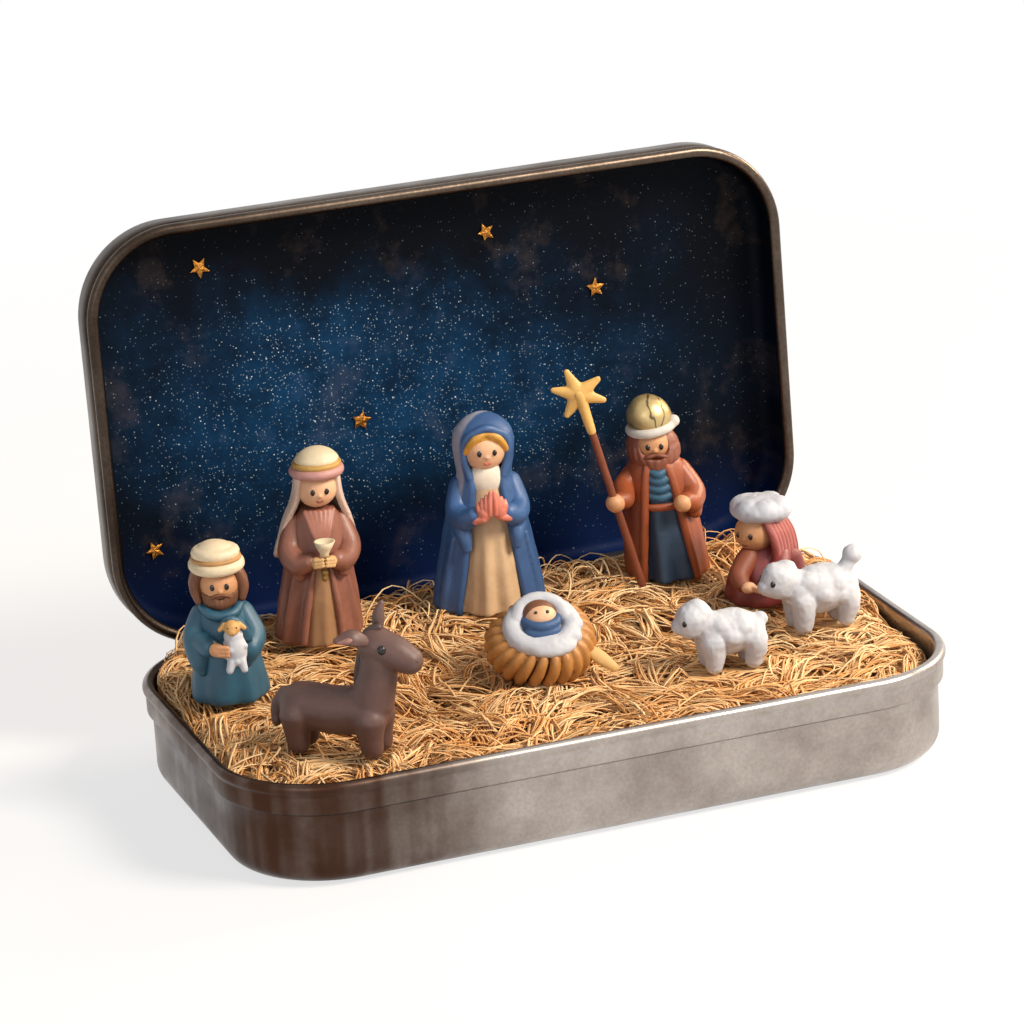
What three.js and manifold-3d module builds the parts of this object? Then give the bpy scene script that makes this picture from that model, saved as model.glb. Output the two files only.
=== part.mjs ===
// Pocket nativity tin: a hinged pressed tin with a night sky in its lid, a bed of straw in its
// base and nine loose clay groups standing on the straw. Millimetres, +Z up, +X along the long
// side, +Y towards the hinge. The origin is the centre of the flat underside of the base.
import * as THREE from 'three';
import { mergeVertices } from 'three/addons/utils/BufferGeometryUtils.js';
import Module from 'manifold-3d';

const wasm = await Module();
wasm.setup();

// Tin
const BASE_LENGTH = 95;
const BASE_DEPTH = 55.6;
const BASE_HEIGHT = 13.3;
const BASE_CORNER = 14;
const PLATE = 0.5;
const BEAD_RADIUS = 0.75;
const WALL_INSET = 1.05;
const BAND_INSET = 0.35;
const BAND_HEIGHT = 2.2;
const BAND_STEP = 0.35;
const BEAD_CREASE = 0.1;
const FOOT_ROUND = 2.6;
const LID_LENGTH = 94;
const LID_DEPTH = 54.4;
const LID_CORNER = 12;
const LID_PANEL = 6;
const LID_SKIRT_INSET = 0.1;
const LID_CREASE = 0.45;
const LID_CREASE_WIDTH = 0.5;
const LID_ROUND = 1.6;
const LID_OPEN_DEGREES = 93.5;

// Hinge: two straps of the base curl round the rolled edge of the lid
const HINGE_Y = BASE_DEPTH / 2 - 1.3;
const HINGE_SPACING = 44;
const LOOP_WIDTH = 6;
const SLOT_SIDE_CLEARANCE = 1;
const SLOT_DEPTH = 2.4;
const STRAP_DROP = 3.1;

// Clearances
const GAP = 0.3;
const CLAY_GAP = 0.2;
const FOIL_GAP = 0.15;
const HINGE_Z = BASE_HEIGHT + GAP + BEAD_RADIUS;
const LOOP_INNER = BEAD_RADIUS + GAP;
const LOOP_OUTER = LOOP_INNER + PLATE;

// Painted lining and foil stars
const LINER = 0.35;
const LINER_WALL = 2.6;
const FOIL = 0.25;
const leftOfLid = (inset) => inset - LID_LENGTH / 2;
const rightOfLid = (inset) => LID_LENGTH / 2 - inset;
const topOfLid = (inset) => LID_DEPTH - inset;
// Across the lid, up from the hinge line, point radius
const FOIL_STARS = [
  [leftOfLid(16.5), topOfLid(7.9), 1.45],
  [rightOfLid(39), topOfLid(8.9), 1.3],
  [rightOfLid(24.5), topOfLid(18.4), 1.45],
  [leftOfLid(36), 23.5, 1.5],
  [rightOfLid(40.5), 14.5, 1.3],
  [leftOfLid(7), 11, 1.35],
];

// Straw
const STRAW_BELOW_RIM = 1.1;
const STRAW_LEVEL = BASE_HEIGHT - STRAW_BELOW_RIM;
const STRAW_FRONT_SLOPE = 0.07;
const STRAW_REAR_SLOPE = 0.125;
const STRAW_WAVE = 0.18;
const STRAW_EDGE_DROP = 2.4;
const STRAW_EDGE_REACH = 4;
const STRAW_TUFT = 0.55;
const STRAW_TUFT_SPACING = 7.5;
const STRAW_TUFT_SLANT = 0.3;
const STRAW_CLEAR = 2.5;

// Where each clay group stands: x and y, measured from the nearest walls, turn about the vertical in
// degrees, footprint radius, lean to the right per millimetre of height
const leftEnd = (inset) => inset - BASE_LENGTH / 2;
const rightEnd = (inset) => BASE_LENGTH / 2 - inset;
const rear = (inset) => BASE_DEPTH / 2 - inset;
const front = (inset) => inset - BASE_DEPTH / 2;
const STAND = {
  shepherd: [leftEnd(8.5), rear(22.2), -14, 5, -0.027],
  bearer: [leftEnd(23.9), rear(10.8), -10, 5.8, 0.055],
  mother: [-0.4, rear(10.4), -12, 6.4, 0.02],
  king: [rightEnd(23.1), rear(10.4), -16, 5, -0.07],
  kneeler: [rightEnd(14.5), rear(21.6), -20, 4.8, 0],
  donkey: [leftEnd(16.1), front(13.4), -41, 5.6, 0],
  frontSheep: [rightEnd(27.9), front(16.6), 174, 5, 0],
  rearSheep: [rightEnd(12.2), rear(32.8), 182, 5, 0],
  manger: [-1, front(24.6), -14, 5, 0],
};

// Shared clay proportions
const HEAD_SIDES = 10;
const HEAD_ROWS = 7;
const LIMB_SIDES = 7;
const DOME_DEGREES = 48;
const ROBE_SIDES = 18;
const ROBE_FOLDS = 6;
const STAFF_RADIUS = 0.6;
const STAR_POINT = 3.5;
const STAR_NOTCH = 1.6;
const STAR_THICKNESS = 1.7;
const STAR_EDGE = 0.3;

const rad = THREE.MathUtils.degToRad;

function clay(colour, roughness = 0.72) {
  return new THREE.MeshStandardMaterial({ color: colour, roughness, metalness: 0 });
}

function metal(colour, roughness) {
  return new THREE.MeshStandardMaterial({ color: colour, roughness, metalness: 1 });
}

function named(name, geometry, material) {
  const mesh = new THREE.Mesh(geometry, material);
  mesh.name = name;
  return mesh;
}

// A closed mesh as a solid: shared corners merged, collapsed triangles left out
function solid(geometry) {
  const bare = geometry.clone();
  bare.deleteAttribute('normal');
  bare.deleteAttribute('uv');
  const merged = mergeVertices(bare, 1e-5);
  const source = merged.index.array;
  const triangles = [];
  for (let i = 0; i < source.length; i += 3) {
    const [a, b, c] = [source[i], source[i + 1], source[i + 2]];
    if (a !== b && b !== c && a !== c) triangles.push(a, b, c);
  }
  return new wasm.Manifold(new wasm.Mesh({
    numProp: 3,
    vertProperties: new Float32Array(merged.attributes.position.array),
    triVerts: new Uint32Array(triangles),
  }));
}

// The largest body of a cut, so that no sliver stays behind
function shape(body) {
  let best = null;
  for (const part of body.decompose()) {
    if (!best || part.volume() > best.volume()) best = part;
  }
  const mesh = best.getMesh();
  const geometry = new THREE.BufferGeometry();
  geometry.setAttribute('position', new THREE.BufferAttribute(new Float32Array(mesh.vertProperties), 3));
  geometry.setIndex(new THREE.BufferAttribute(new Uint32Array(mesh.triVerts), 1));
  geometry.computeVertexNormals();
  return geometry;
}

function piece(joined, cuts = []) {
  let body = solid(joined[0]);
  for (const extra of joined.slice(1)) body = body.add(solid(extra));
  for (const cut of cuts) body = body.subtract(solid(cut));
  return shape(body);
}

// Rings of equal count skinned into one closed body with a fan at each end
function loft(rings) {
  const count = rings[0].length;
  const positions = [];
  const index = [];
  for (const ring of rings) {
    for (const p of ring) positions.push(p.x, p.y, p.z);
  }
  for (let i = 0; i + 1 < rings.length; i++) {
    for (let j = 0; j < count; j++) {
      const a = i * count + j;
      const b = i * count + (j + 1) % count;
      index.push(a, b, b + count, a, b + count, a + count);
    }
  }
  for (const end of [0, rings.length - 1]) {
    const middle = new THREE.Vector3();
    for (const p of rings[end]) middle.addScaledVector(p, 1 / count);
    const hub = positions.length / 3;
    positions.push(middle.x, middle.y, middle.z);
    for (let j = 0; j < count; j++) {
      const a = end * count + j;
      const b = end * count + (j + 1) % count;
      if (end === 0) index.push(hub, b, a);
      else index.push(hub, a, b);
    }
  }
  const geometry = new THREE.BufferGeometry();
  geometry.setAttribute('position', new THREE.Float32BufferAttribute(positions, 3));
  geometry.setIndex(index);
  return geometry;
}

function block(low, high) {
  const size = high.map((h, i) => h - low[i]);
  const geometry = new THREE.BoxGeometry(...size);
  geometry.translate(low[0] + size[0] / 2, low[1] + size[1] / 2, low[2] + size[2] / 2);
  return geometry;
}

function ball(centre, radii, grow = 0, sides = HEAD_SIDES, rows = HEAD_ROWS) {
  const geometry = new THREE.SphereGeometry(1, sides, rows);
  geometry.rotateX(Math.PI / 2);
  geometry.scale(radii[0] + grow, radii[1] + grow, radii[2] + grow);
  geometry.translate(...centre);
  return geometry;
}

// A ball small enough for few facets, such as a hand
function pellet(centre, radii, grow = 0) {
  return ball(centre, radii, grow, 8, 6);
}

// A ball of wool: an ellipsoid with soft knobs all over
function woolBall(centre, radii, knobs, height, grow = 0) {
  const geometry = ball([0, 0, 0], [1, 1, 1], 0, 14, 8);
  const at = geometry.attributes.position;
  for (let i = 0; i < at.count; i++) {
    const p = new THREE.Vector3().fromBufferAttribute(at, i);
    const around = Math.atan2(p.y, p.x);
    const fade = 1 - p.z ** 4;
    const k = 1 + height * fade * Math.cos(knobs * around) * Math.cos(3.2 * p.z);
    at.setXYZ(i, p.x * k * (radii[0] + grow), p.y * k * (radii[1] + grow), p.z * (radii[2] + grow));
  }
  geometry.translate(...centre);
  return geometry;
}

// A turned piece about the vertical: profile of [radius, height] from axis to axis
function turned(profile, sides = 16) {
  const points = profile.map(([r, z]) => new THREE.Vector2(r, z));
  const geometry = new THREE.LatheGeometry(points, sides);
  geometry.rotateX(Math.PI / 2);
  return geometry;
}

// A round limb through [x, y, z, radius] knots, with one ring of a dome at each end
function limb(knots, grow = 0, sides = LIMB_SIDES, steps = 2) {
  const curve = new THREE.CatmullRomCurve3(knots.map((k) => new THREE.Vector3(k[0], k[1], k[2])));
  const count = steps * (knots.length - 1);
  const frames = curve.computeFrenetFrames(count, false);
  const rings = [];
  const ring = (centre, i, radius) => {
    const points = [];
    for (let j = 0; j < sides; j++) {
      const a = 2 * Math.PI * j / sides;
      points.push(centre.clone()
        .addScaledVector(frames.normals[i], radius * Math.cos(a))
        .addScaledVector(frames.binormals[i], radius * Math.sin(a)));
    }
    return points;
  };
  const dome = (i, centre, radius, sign) => ring(
    centre.clone().addScaledVector(frames.tangents[i], sign * radius * Math.sin(rad(DOME_DEGREES))),
    i,
    radius * Math.cos(rad(DOME_DEGREES)),
  );
  for (let i = 0; i <= count; i++) {
    const knot = Math.min(knots.length - 2, Math.floor(i / steps));
    const along = i / steps - knot;
    const radius = THREE.MathUtils.lerp(knots[knot][3], knots[knot + 1][3], along) + grow;
    const centre = curve.getPoint(i / count);
    if (i === 0) rings.push(dome(0, centre, radius, -1));
    rings.push(ring(centre, i, radius));
    if (i === count) rings.push(dome(count, centre, radius, 1));
  }
  return loft(rings);
}

// A draped body through [height, half width, half depth, shift in y] rows, with soft folds
// that fade out towards the top
function drape(rows, folds = { count: 0, depth: 0, phase: 0 }, grow = 0, steps = 1) {
  const curve = new THREE.CatmullRomCurve3(rows.map((r) => new THREE.Vector3(r[1], r[2], r[0])));
  const count = steps * (rows.length - 1);
  const rings = [];
  for (let i = 0; i <= count; i++) {
    const p = curve.getPoint(i / count);
    const row = Math.min(rows.length - 2, Math.floor(i / steps));
    const shift = THREE.MathUtils.lerp(rows[row][3], rows[row + 1][3], i / steps - row);
    const end = i === 0 ? -grow : i === count ? grow : 0;
    const ring = [];
    for (let j = 0; j < ROBE_SIDES; j++) {
      const a = 2 * Math.PI * j / ROBE_SIDES;
      const k = 1 + folds.depth * (1 - i / count) * Math.cos(folds.count * a + folds.phase);
      ring.push(new THREE.Vector3(
        (p.x * k + grow) * Math.cos(a),
        shift + (p.y * k + grow) * Math.sin(a),
        p.z + end,
      ));
    }
    rings.push(ring);
  }
  return loft(rings);
}

// An upright wedge that opens the front of a cloak, narrowing from hem to neck
function frontWedge(low, high, halfLow, halfHigh, back) {
  const ring = (z, half) => [
    new THREE.Vector3(-half, -20, z),
    new THREE.Vector3(half, -20, z),
    new THREE.Vector3(half, back, z),
    new THREE.Vector3(-half, back, z),
  ];
  return loft([ring(low, halfLow), ring(high, halfHigh)]);
}

function starShape(points, outer, inner) {
  const outline = new THREE.Shape();
  for (let i = 0; i < 2 * points; i++) {
    const a = Math.PI / 2 + Math.PI * i / points;
    const r = i % 2 ? inner : outer;
    if (i === 0) outline.moveTo(r * Math.cos(a), r * Math.sin(a));
    else outline.lineTo(r * Math.cos(a), r * Math.sin(a));
  }
  outline.closePath();
  return outline;
}

function moved(geometry, turnDegrees, offset) {
  const turn = new THREE.Euler(...turnDegrees.map(rad));
  const matrix = new THREE.Matrix4().makeRotationFromEuler(turn);
  matrix.setPosition(...offset);
  return geometry.applyMatrix4(matrix);
}

// One ring of a rounded rectangle, drawn inward by an inset, at a height
function outlineRing(length, depth, corner, inset, z, shiftY = 0) {
  const arcSteps = 5;
  const r = Math.max(0.4, corner - inset);
  const points = [];
  const centres = [[1, 1, 0], [-1, 1, 90], [-1, -1, 180], [1, -1, 270]];
  for (const [sx, sy, start] of centres) {
    const cx = sx * (length / 2 - inset - r);
    const cy = sy * (depth / 2 - inset - r);
    for (let i = 0; i <= arcSteps; i++) {
      const a = rad(start + 90 * i / arcSteps);
      points.push(new THREE.Vector3(cx + r * Math.cos(a), shiftY + cy + r * Math.sin(a), z));
    }
  }
  return points;
}

const tin = new THREE.Group();
const tinplate = 0x9a8d84;

// Base pan: flat bottom with a rounded foot, plain wall, flat band under a rolled rim bead
function basePan() {
  const inner = WALL_INSET + PLATE;
  const bead = (degrees) => [
    BEAD_RADIUS * (1 - Math.cos(rad(degrees))),
    BASE_HEIGHT - BEAD_RADIUS * (1 - Math.sin(rad(degrees))),
  ];
  const bandTop = BASE_HEIGHT - 2 * BEAD_RADIUS - BEAD_CREASE;
  const section = [
    [WALL_INSET + FOOT_ROUND, 0],
    [WALL_INSET + FOOT_ROUND * 0.4, FOOT_ROUND * 0.13],
    [WALL_INSET + FOOT_ROUND * 0.13, FOOT_ROUND * 0.42],
    [WALL_INSET, FOOT_ROUND],
    [WALL_INSET, bandTop - BAND_HEIGHT - BAND_STEP],
    [BAND_INSET, bandTop - BAND_HEIGHT],
    [BAND_INSET, bandTop],
    ...[-40, 0, 40, 90, 140, 180].map(bead),
    [inner, BASE_HEIGHT - 2 * BEAD_RADIUS],
    [inner, FOOT_ROUND + PLATE],
    [inner + FOOT_ROUND * 0.2, FOOT_ROUND * 0.4 + PLATE],
    [WALL_INSET + FOOT_ROUND, PLATE],
  ];
  const shell = loft(section.map(([inset, z]) => (
    outlineRing(BASE_LENGTH, BASE_DEPTH, BASE_CORNER, inset, z)
  )));
  const joins = [shell];
  const bores = [];
  for (const side of [-1, 1]) {
    const low = side * HINGE_SPACING / 2 - LOOP_WIDTH / 2;
    const round = (radius, extra) => moved(
      new THREE.CylinderGeometry(radius, radius, LOOP_WIDTH + extra, 16),
      [0, 0, 90],
      [side * HINGE_SPACING / 2, HINGE_Y, HINGE_Z],
    );
    joins.push(round(LOOP_OUTER, 0));
    joins.push(block(
      [low, HINGE_Y + LOOP_INNER, HINGE_Z - STRAP_DROP],
      [low + LOOP_WIDTH, HINGE_Y + LOOP_OUTER, HINGE_Z],
    ));
    bores.push(round(LOOP_INNER, 2));
  }
  return piece(joins, bores);
}
tin.add(named('base_pan', basePan(), metal(tinplate, 0.42)));

// Straw bed: fills the base, higher towards the hinge and falling off along the wall
function bedTop(x, y) {
  const wave = STRAW_WAVE * Math.sin(0.21 * x + 1) * Math.cos(0.27 * y);
  const slope = y > 0 ? STRAW_REAR_SLOPE : STRAW_FRONT_SLOPE;
  return STRAW_LEVEL + slope * y + wave;
}

// Locks of straw lie in low ridges between the clay groups and are pressed flat under them
function tuft(x, y) {
  let open = 1;
  for (const [sx, sy, , radius] of Object.values(STAND)) {
    const beyond = (Math.hypot(x - sx, y - sy) - radius) / STRAW_CLEAR;
    open = Math.min(open, THREE.MathUtils.clamp(beyond, 0, 1));
  }
  const across = 2 * Math.PI / STRAW_TUFT_SPACING * (y + STRAW_TUFT_SLANT * x);
  const bend = 1.4 * Math.sin(0.13 * x);
  const length = Math.cos(0.16 * x - 0.1 * y);
  return STRAW_TUFT * open * length * Math.sin(across + bend);
}

function strawBed() {
  const inset = WALL_INSET + PLATE + GAP;
  const around = 56;
  const outline = new THREE.Shape(
    outlineRing(BASE_LENGTH, BASE_DEPTH, BASE_CORNER, inset, 0).map((p) => new THREE.Vector2(p.x, p.y)),
  );
  outline.closePath();
  const edge = outline.getSpacedPoints(around).slice(0, around);
  const reach = (BASE_LENGTH - BASE_DEPTH) / 2;
  const ring = (draw, height) => edge.map((p) => {
    const x = THREE.MathUtils.lerp(p.x, THREE.MathUtils.clamp(p.x, -reach, reach), draw);
    const y = p.y * (1 - draw);
    return new THREE.Vector3(x, y, height(x, y));
  });
  const half = BASE_DEPTH / 2 - inset;
  const rings = [
    ring(FOOT_ROUND / half, () => PLATE + GAP),
    ring(0, () => FOOT_ROUND + PLATE + GAP),
  ];
  for (const inward of [0, 1.5, 4, 6.5, 9, 11.5, 14, 16.5, 19, 21.5, 24]) {
    const fall = Math.max(0, 1 - inward / STRAW_EDGE_REACH) ** 2 * STRAW_EDGE_DROP;
    const settle = Math.min(1, inward / STRAW_EDGE_REACH);
    rings.push(ring(inward / half, (x, y) => bedTop(x, y) + settle * tuft(x, y) - fall));
  }
  return loft(rings);
}
const loopRooms = [-1, 1].map((side) => {
  const half = LOOP_WIDTH / 2 + GAP;
  const reach = LOOP_OUTER + GAP;
  const x = side * HINGE_SPACING / 2;
  return block([x - half, HINGE_Y - reach, HINGE_Z - reach], [x + half, HINGE_Y + reach, HINGE_Z + reach]);
});
tin.add(named('straw_bed', piece([strawBed()], loopRooms), clay(0xc89a58, 0.95)));

// The lid is drawn closed about the hinge line and then swung open as one group
const lid = new THREE.Group();
lid.position.set(0, HINGE_Y, HINGE_Z);
lid.rotation.x = rad(-LID_OPEN_DEGREES);
tin.add(lid);
const LID_SHIFT = BEAD_RADIUS - LID_DEPTH / 2;
const LID_INNER = LID_SKIRT_INSET + PLATE;

// Lid shell: pressed panel, rounded skirt, rolled edge bared in two slots as the hinge pintle
function lidShell() {
  const bead = (degrees) => [
    BEAD_RADIUS * (1 - Math.cos(rad(degrees))),
    BEAD_RADIUS * Math.sin(rad(degrees)),
  ];
  const ceiling = LID_PANEL - PLATE;
  const section = [
    [LID_INNER + LID_ROUND, ceiling],
    [LID_INNER + LID_ROUND * 0.3, ceiling - LID_ROUND * 0.3],
    [LID_INNER, ceiling - LID_ROUND],
    [LID_INNER, BEAD_RADIUS],
    ...[180, 220, 270, 320, 360, 400].map(bead),
    [LID_CREASE, BEAD_RADIUS],
    [LID_CREASE, BEAD_RADIUS + LID_CREASE_WIDTH],
    [LID_SKIRT_INSET, BEAD_RADIUS + LID_CREASE_WIDTH + LID_CREASE - LID_SKIRT_INSET],
    [LID_SKIRT_INSET, LID_PANEL - LID_ROUND],
    [LID_SKIRT_INSET + LID_ROUND * 0.3, LID_PANEL - LID_ROUND * 0.3],
    [LID_SKIRT_INSET + LID_ROUND, LID_PANEL],
  ];
  const shell = loft(section.map(([inset, z]) => (
    outlineRing(LID_LENGTH, LID_DEPTH, LID_CORNER, inset, z, LID_SHIFT)
  )));
  const slotHalf = LOOP_WIDTH / 2 + SLOT_SIDE_CLEARANCE;
  let body = solid(shell);
  for (const side of [-1, 1]) {
    const x = side * HINGE_SPACING / 2;
    body = body.subtract(solid(block([x - slotHalf, -SLOT_DEPTH, -2], [x + slotHalf, 2, SLOT_DEPTH])));
    const bar = new THREE.CylinderGeometry(BEAD_RADIUS, BEAD_RADIUS, 2 * slotHalf + 1, 12);
    body = body.add(solid(moved(bar, [0, 0, 90], [x, 0, 0])));
  }
  return shape(body);
}
lid.add(named('lid_shell', lidShell(), metal(tinplate, 0.4)));

// Painted lining: a shallow tray against the lid's panel
const LINER_BACK = LID_PANEL - PLATE - FOIL_GAP;
function skyLiner() {
  const outer = LID_INNER + FOIL_GAP;
  const inner = outer + LINER;
  const rim = LINER_BACK - LINER_WALL;
  const section = [
    [inner + LID_ROUND, LINER_BACK - LINER],
    [inner + LID_ROUND * 0.3, LINER_BACK - LINER - LID_ROUND * 0.3],
    [inner, LINER_BACK - LINER - LID_ROUND],
    [inner, rim],
    [outer, rim],
    [outer, LINER_BACK - LID_ROUND],
    [outer + LID_ROUND * 0.3, LINER_BACK - LID_ROUND * 0.3],
    [outer + LID_ROUND, LINER_BACK],
  ];
  return piece([loft(section.map(([inset, z]) => (
    outlineRing(LID_LENGTH, LID_DEPTH, LID_CORNER, inset, z, LID_SHIFT)
  )))]);
}
lid.add(named('sky_liner', skyLiner(), clay(0x0c2748, 0.4)));

// Foil stars on the lining: across from the middle, up from the hinge line, point radius
FOIL_STARS.forEach(([across, up, point], i) => {
  const star = new THREE.ExtrudeGeometry(starShape(5, point, point * 0.45), {
    depth: FOIL,
    bevelEnabled: false,
  });
  const face = LINER_BACK - LINER - FOIL_GAP - FOIL;
  moved(star, [180, 0, 17 * i], [across, -up, face + FOIL]);
  lid.add(named(`foil_star_${i + 1}`, piece([star]), metal(0xc8862e, 0.45)));
});

// A clay group stands upright on the highest straw under its footprint and leans a little to one
// side with height. The returned function adds a piece to the group.
function stand(key) {
  const [x, y, turn, radius, lean] = STAND[key];
  let top = bedTop(x, y);
  for (let i = 0; i < 24; i++) {
    for (const share of [0.5, 1]) {
      const a = 2 * Math.PI * i / 24;
      top = Math.max(top, bedTop(x + share * radius * Math.cos(a), y + share * radius * Math.sin(a)));
    }
  }
  const group = new THREE.Group();
  group.position.set(x, y, top + GAP);
  group.rotation.z = rad(turn);
  tin.add(group);
  const tilt = new THREE.Matrix4().makeShear(0, 0, 0, 0, lean, 0);
  return (name, geometry, material) => group.add(named(name, geometry.applyMatrix4(tilt), material));
}

const floorCut = block([-20, -20, -20], [20, 20, 0]);

// Shepherd with a lamb: bell-sleeved robe, beard and hair, two-roll turban
{
  const add = stand('shepherd');
  const folds = { count: ROBE_FOLDS, depth: 0.035, phase: 0.6 };
  const robeRows = [
    [0, 4.7, 4.3, 0.2], [3, 4.5, 4.1, 0.1], [7, 3.8, 3.4, 0],
    [10, 3.3, 3, 0], [11.6, 2.7, 2.5, 0], [12.6, 1.8, 1.7, 0],
  ];
  const robe = (grow) => [
    drape(robeRows, folds, grow),
    limb([[-2.5, 0.2, 10.5, 1.5], [-3.4, -1, 8, 1.8], [-3.2, -2, 5.4, 1.5], [-3, -2.4, 4.3, 0.8]], grow),
    limb([[-3.1, -1.4, 8.1, 1.5], [-2.1, -3.7, 7.7, 1.4]], grow),
    limb([[2.5, 0.2, 10.5, 1.5], [3.4, -1, 8.2, 1.75], [2.9, -2.8, 6.8, 1.5], [2.4, -3.2, 5.6, 0.9]], grow),
  ];
  const head = (grow) => ball([0, -0.4, 14.9], [2.5, 2.4, 2.45], grow);
  const turban = (grow) => turned([
    [0, 16.5 - grow], [2.7 + grow, 16.5 - grow], [3.5 + grow, 17.3], [3.2 + grow, 18],
    [3.05 + grow, 18.9], [2.4 + grow, 19.8 + grow], [0, 20.2 + grow],
  ]);
  const lamb = (grow) => [
    ball([1.1, -5, 7.8], [1.5, 1.3, 2.3], grow),
    pellet([0.9, -5.5, 10.7], [1.15, 1.2, 1.1], grow),
    limb([[0.5, -5.6, 6.6, 0.65], [0.2, -6.1, 5.4, 0.55]], grow),
    limb([[1.7, -5.6, 6.6, 0.65], [1.9, -6.1, 5.4, 0.55]], grow),
  ];
  const hand = (grow) => pellet([-1.2, -5.5, 8], [1.1, 0.9, 1], grow);
  const face = ball([0, -3.4, 15.5], [2.15, 2.2, 1.9]);
  add('shepherd_robe', piece(robe(0), [...lamb(CLAY_GAP), hand(CLAY_GAP), floorCut]), clay(0x2f6478));
  add('shepherd_head', piece([head(0)], [turban(CLAY_GAP), ...robe(CLAY_GAP)]), clay(0xc08a5e));
  add('shepherd_beard', piece(
    [ball([0, 0.3, 14.8], [3.1, 2.8, 2.9])],
    [head(CLAY_GAP), turban(CLAY_GAP), ...robe(CLAY_GAP), face],
  ), clay(0x7a4a2c));
  add('shepherd_turban', piece([turban(0)]), clay(0xdcc6a0));
  add('shepherd_lamb', piece(lamb(0)), clay(0xe6e0d6));
  add('shepherd_hand', piece([hand(0)], lamb(CLAY_GAP)), clay(0xb98358));
}

// Robed bearer: pleated robe over a gown panel, long veil, banded hat, a cup held in both hands
{
  const add = stand('bearer');
  const folds = { count: ROBE_FOLDS, depth: 0.035, phase: 0.3 };
  const robeRows = [
    [0, 5.4, 4.7, 0.2], [5, 5, 4.3, 0.1], [10, 4.2, 3.7, 0], [13.5, 3.6, 3.2, 0],
    [15.6, 3, 2.7, 0], [17, 2, 1.9, 0],
  ];
  const sleeve = (side, grow) => limb([
    [side * 2.8, 0.2, 14.6, 1.5],
    [side * 3.6, -1.2, 11.9, 1.65],
    [side * 2.8, -3.3, 10.7, 1.5],
    [side * 1.9, -4.3, 11.2, 1.2],
  ], grow);
  const robe = (grow) => [drape(robeRows, folds, grow), sleeve(-1, grow), sleeve(1, grow)];
  const gownRows = [[0, 2.6, 2.4, -2.9], [5, 2.1, 2.2, -2.6], [9.8, 1.3, 1.7, -2.5]];
  const gown = (grow) => drape(gownRows, undefined, grow);
  const head = (grow) => ball([0, -0.4, 19.5], [2.5, 2.4, 2.45], grow);
  const brimTop = 22.5;
  const bandTop = 23.2;
  const brim = (grow) => turned([
    [0, 21.1 - grow], [2.8 + grow, 21.1 - grow], [3.5 + grow, 21.6], [3.5 + grow, 22],
    [2.8 + grow, brimTop + grow], [0, brimTop + grow],
  ]);
  const band = turned([
    [0, brimTop + CLAY_GAP], [2.9, brimTop + CLAY_GAP], [3.15, 22.95], [2.9, bandTop], [0, bandTop],
  ]);
  const crown = turned([
    [0, bandTop + CLAY_GAP], [2.75, bandTop + CLAY_GAP], [2.6, 24], [1.9, 24.5], [0.9, 24.75], [0, 24.8],
  ]);
  const hands = (grow) => [
    pellet([-0.9, -5.1, 11.3], [0.9, 0.9, 0.9], grow),
    pellet([0.9, -5.1, 11.3], [0.9, 0.9, 0.9], grow),
    limb([[-0.9, -5.1, 11.3, 0.5], [0.9, -5.1, 11.3, 0.5]], grow),
  ];
  const cup = moved(turned([
    [0, 0], [0.65, 0], [1, 1.1], [1.4, 1.9], [1.1, 1.9], [0.7, 0.9], [0, 0.7],
  ], 20), [0, 0, 0], [0.1, -5.2, 12.4]);
  const knob = (grow) => pellet([0.1, -5.2, 9.5], [0.6, 0.5, 0.7], grow);
  const fall = [
    ball([0, 0.7, 19.5], [3.1, 2.9, 3]),
    limb([[-2.8, 0.4, 20, 0.8], [-3.6, 0, 16, 0.9], [-5, -0.6, 11, 1]]),
    limb([[2.8, 0.4, 20, 0.7], [3.2, 0.2, 17.4, 0.8], [3.5, 0.1, 15.6, 0.7]]),
    limb([[0, 2.6, 19.4, 1.4], [0, 3.3, 15, 1.8], [0, 4, 10.4, 2]]),
  ];
  const face = ball([0, -3.2, 19.5], [2.4, 3, 4]);
  add('bearer_robe', piece(robe(0), [
    gown(CLAY_GAP), ...hands(CLAY_GAP), knob(CLAY_GAP), floorCut,
  ]), clay(0x8a5a4c));
  add('bearer_gown', piece([gown(0)], [knob(CLAY_GAP), ...hands(CLAY_GAP)]), clay(0xa8805c));
  add('bearer_head', piece([head(0)], [brim(CLAY_GAP), ...robe(CLAY_GAP)]), clay(0xe0b48c));
  add('bearer_veil', piece(
    fall,
    [head(CLAY_GAP), brim(CLAY_GAP), ...robe(CLAY_GAP), face],
  ), clay(0xd9c0a4));
  add('bearer_hat_brim', piece([brim(0)]), clay(0xc08a80));
  add('bearer_hat_band', piece([band]), clay(0xc09850));
  add('bearer_hat_crown', piece([crown]), clay(0xe2d0ae));
  add('bearer_hands', piece(hands(0)), clay(0xd9ad78));
  add('bearer_cup', piece([cup]), clay(0xe4d4b4));
  add('bearer_knob', piece([knob(0)]), clay(0x8a6a2c));
}

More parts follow.
